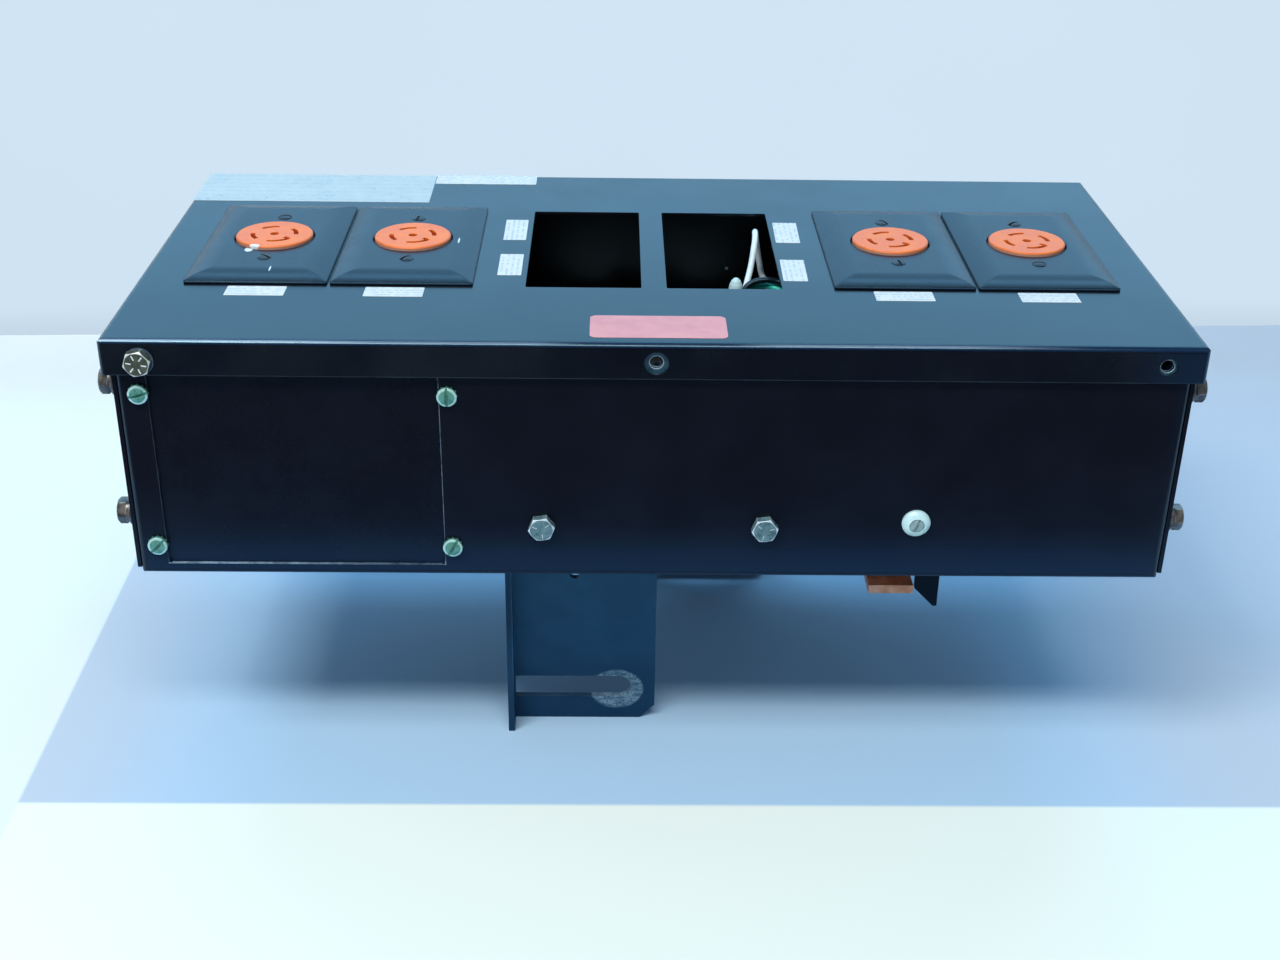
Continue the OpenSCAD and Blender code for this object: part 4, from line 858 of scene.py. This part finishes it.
def floor_colour(tree, parts):
    """A blue mat where the box stands, duller to its sides; near white in front and to the left of it."""
    x, y, _ = parts
    on_mat_y = span(tree, y, MAT_FRONT - 0.0015, MAT_FRONT + 0.0015)
    edge_x = calc(tree, "SUBTRACT", x, calc(tree, "MULTIPLY", y, MAT_LEAN))
    on_mat_x = span(tree, edge_x, MAT_LEFT - 0.0012, MAT_LEFT + 0.0012)
    aside = span(tree, calc(tree, "ABSOLUTE", x), 0.20, 0.32)
    far_right = calc(tree, "MULTIPLY", span(tree, x, 0.25, 0.34), span(tree, y, 0.28, 0.42))
    mat = mix(tree, aside, (0.435, 0.615, 0.775), (0.525, 0.575, 0.64))
    mat = mix(tree, far_right, mat, (0.60, 0.68, 0.76))
    left = mix(tree, span(tree, y, 0.05, 0.40), (0.79, 0.80, 0.725), (0.83, 0.86, 0.825))
    white = mix(tree, on_mat_x, left, (0.87, 0.92, 0.83))
    return mix(tree, calc(tree, "MULTIPLY", on_mat_y, on_mat_x), white, mat)


def floor_seen(tree, parts):
    """What the box mirrors of the floor: deep blue close by, paler to the sides, dark far in front."""
    aside = span(tree, calc(tree, "ABSOLUTE", parts[0]), 0.26, 0.42)
    close = mix(tree, aside, (0.18, 0.37, 0.68), (0.50, 0.66, 0.80))
    return mix(tree, span(tree, parts[1], -0.325, -0.365), close, (0.05, 0.06, 0.10))


FLOOR_HALF = 4
WALL_HALF = 1.6
WALL_HEIGHT = 0.32
WALL_Y_LEFT = 0.398
WALL_Y_RIGHT = 0.534
FLOOR = stage_mat("pale_floor", floor_colour, seen=floor_seen)
WALL = stage_mat("pale_backdrop", (0.74, 0.82, 0.88), glow=(0.62, 0.765, 0.895))
stage_mesh("floor", [(-FLOOR_HALF, -FLOOR_HALF, 0), (FLOOR_HALF, -FLOOR_HALF, 0),
                     (FLOOR_HALF, FLOOR_HALF, 0), (-FLOOR_HALF, FLOOR_HALF, 0)], FLOOR)
stage_mesh("backdrop", [(-WALL_HALF, WALL_Y_LEFT, 0), (WALL_HALF, WALL_Y_RIGHT, 0),
                        (WALL_HALF, WALL_Y_RIGHT, WALL_HEIGHT), (-WALL_HALF, WALL_Y_LEFT, WALL_HEIGHT)], WALL)

# ------------------------------------------------------------------ light


def area(name, loc, target, size, power, colour):
    """A rectangular lamp; it looks straight down if target is None."""
    lamp = bpy.data.lights.new(name, "AREA")
    lamp.shape = "RECTANGLE"
    lamp.size = size[0]
    lamp.size_y = size[1]
    lamp.energy = power
    lamp.color = colour
    item = bpy.data.objects.new(name, lamp)
    scene.collection.objects.link(item)
    item.location = loc
    if target:
        item.rotation_euler = (Vector(target) - Vector(loc)).to_track_quat("-Z", "Y").to_euler()


ROOM_WHITE = (0.97, 1.0, 1.0)
ABOVE_BOX = (0, 0, 0.3)
area("key", (-1.15, -1.15, 2.4), None, (1.0, 0.7), 43, ROOM_WHITE)
area("fill", (-0.05, -1.50, 2.5), None, (1.6, 0.5), 41, ROOM_WHITE)
area("back_sky", (0, 1.6, 0.95), ABOVE_BOX, (3.4, 1.5), 17.1, (0.235, 0.65, 1.0))
area("high_sky", (0, 1.15, 1.95), ABOVE_BOX, (2.6, 0.55), 23.0, (0.30, 0.66, 1.0))

# The room: a pale tone to the camera, a dim blue light on all else, and in mirrors brighter behind and beside
world = bpy.data.worlds.new("room")
scene.world = world
world.use_nodes = True
tree = world.node_tree
background = tree.nodes["Background"]
rays = put(tree, "LightPath").outputs
x, y, _ = axes(tree, put(tree, "TexCoord").outputs["Generated"])
bright = calc(tree, "ADD", y, calc(tree, "MULTIPLY", calc(tree, "ABSOLUTE", x), 0.7))
mirrored = mix(tree, span(tree, bright, -0.1, 0.6), (0.03, 0.04, 0.06), (0.32, 0.58, 0.88))
lit = mix(tree, rays["Is Glossy Ray"], (0.17, 0.28, 0.42), mirrored)
shown = mix(tree, rays["Is Camera Ray"], lit, (0.74, 0.86, 0.92))
tree.links.new(shown, background.inputs[0])
background.inputs[1].default_value = 1.0
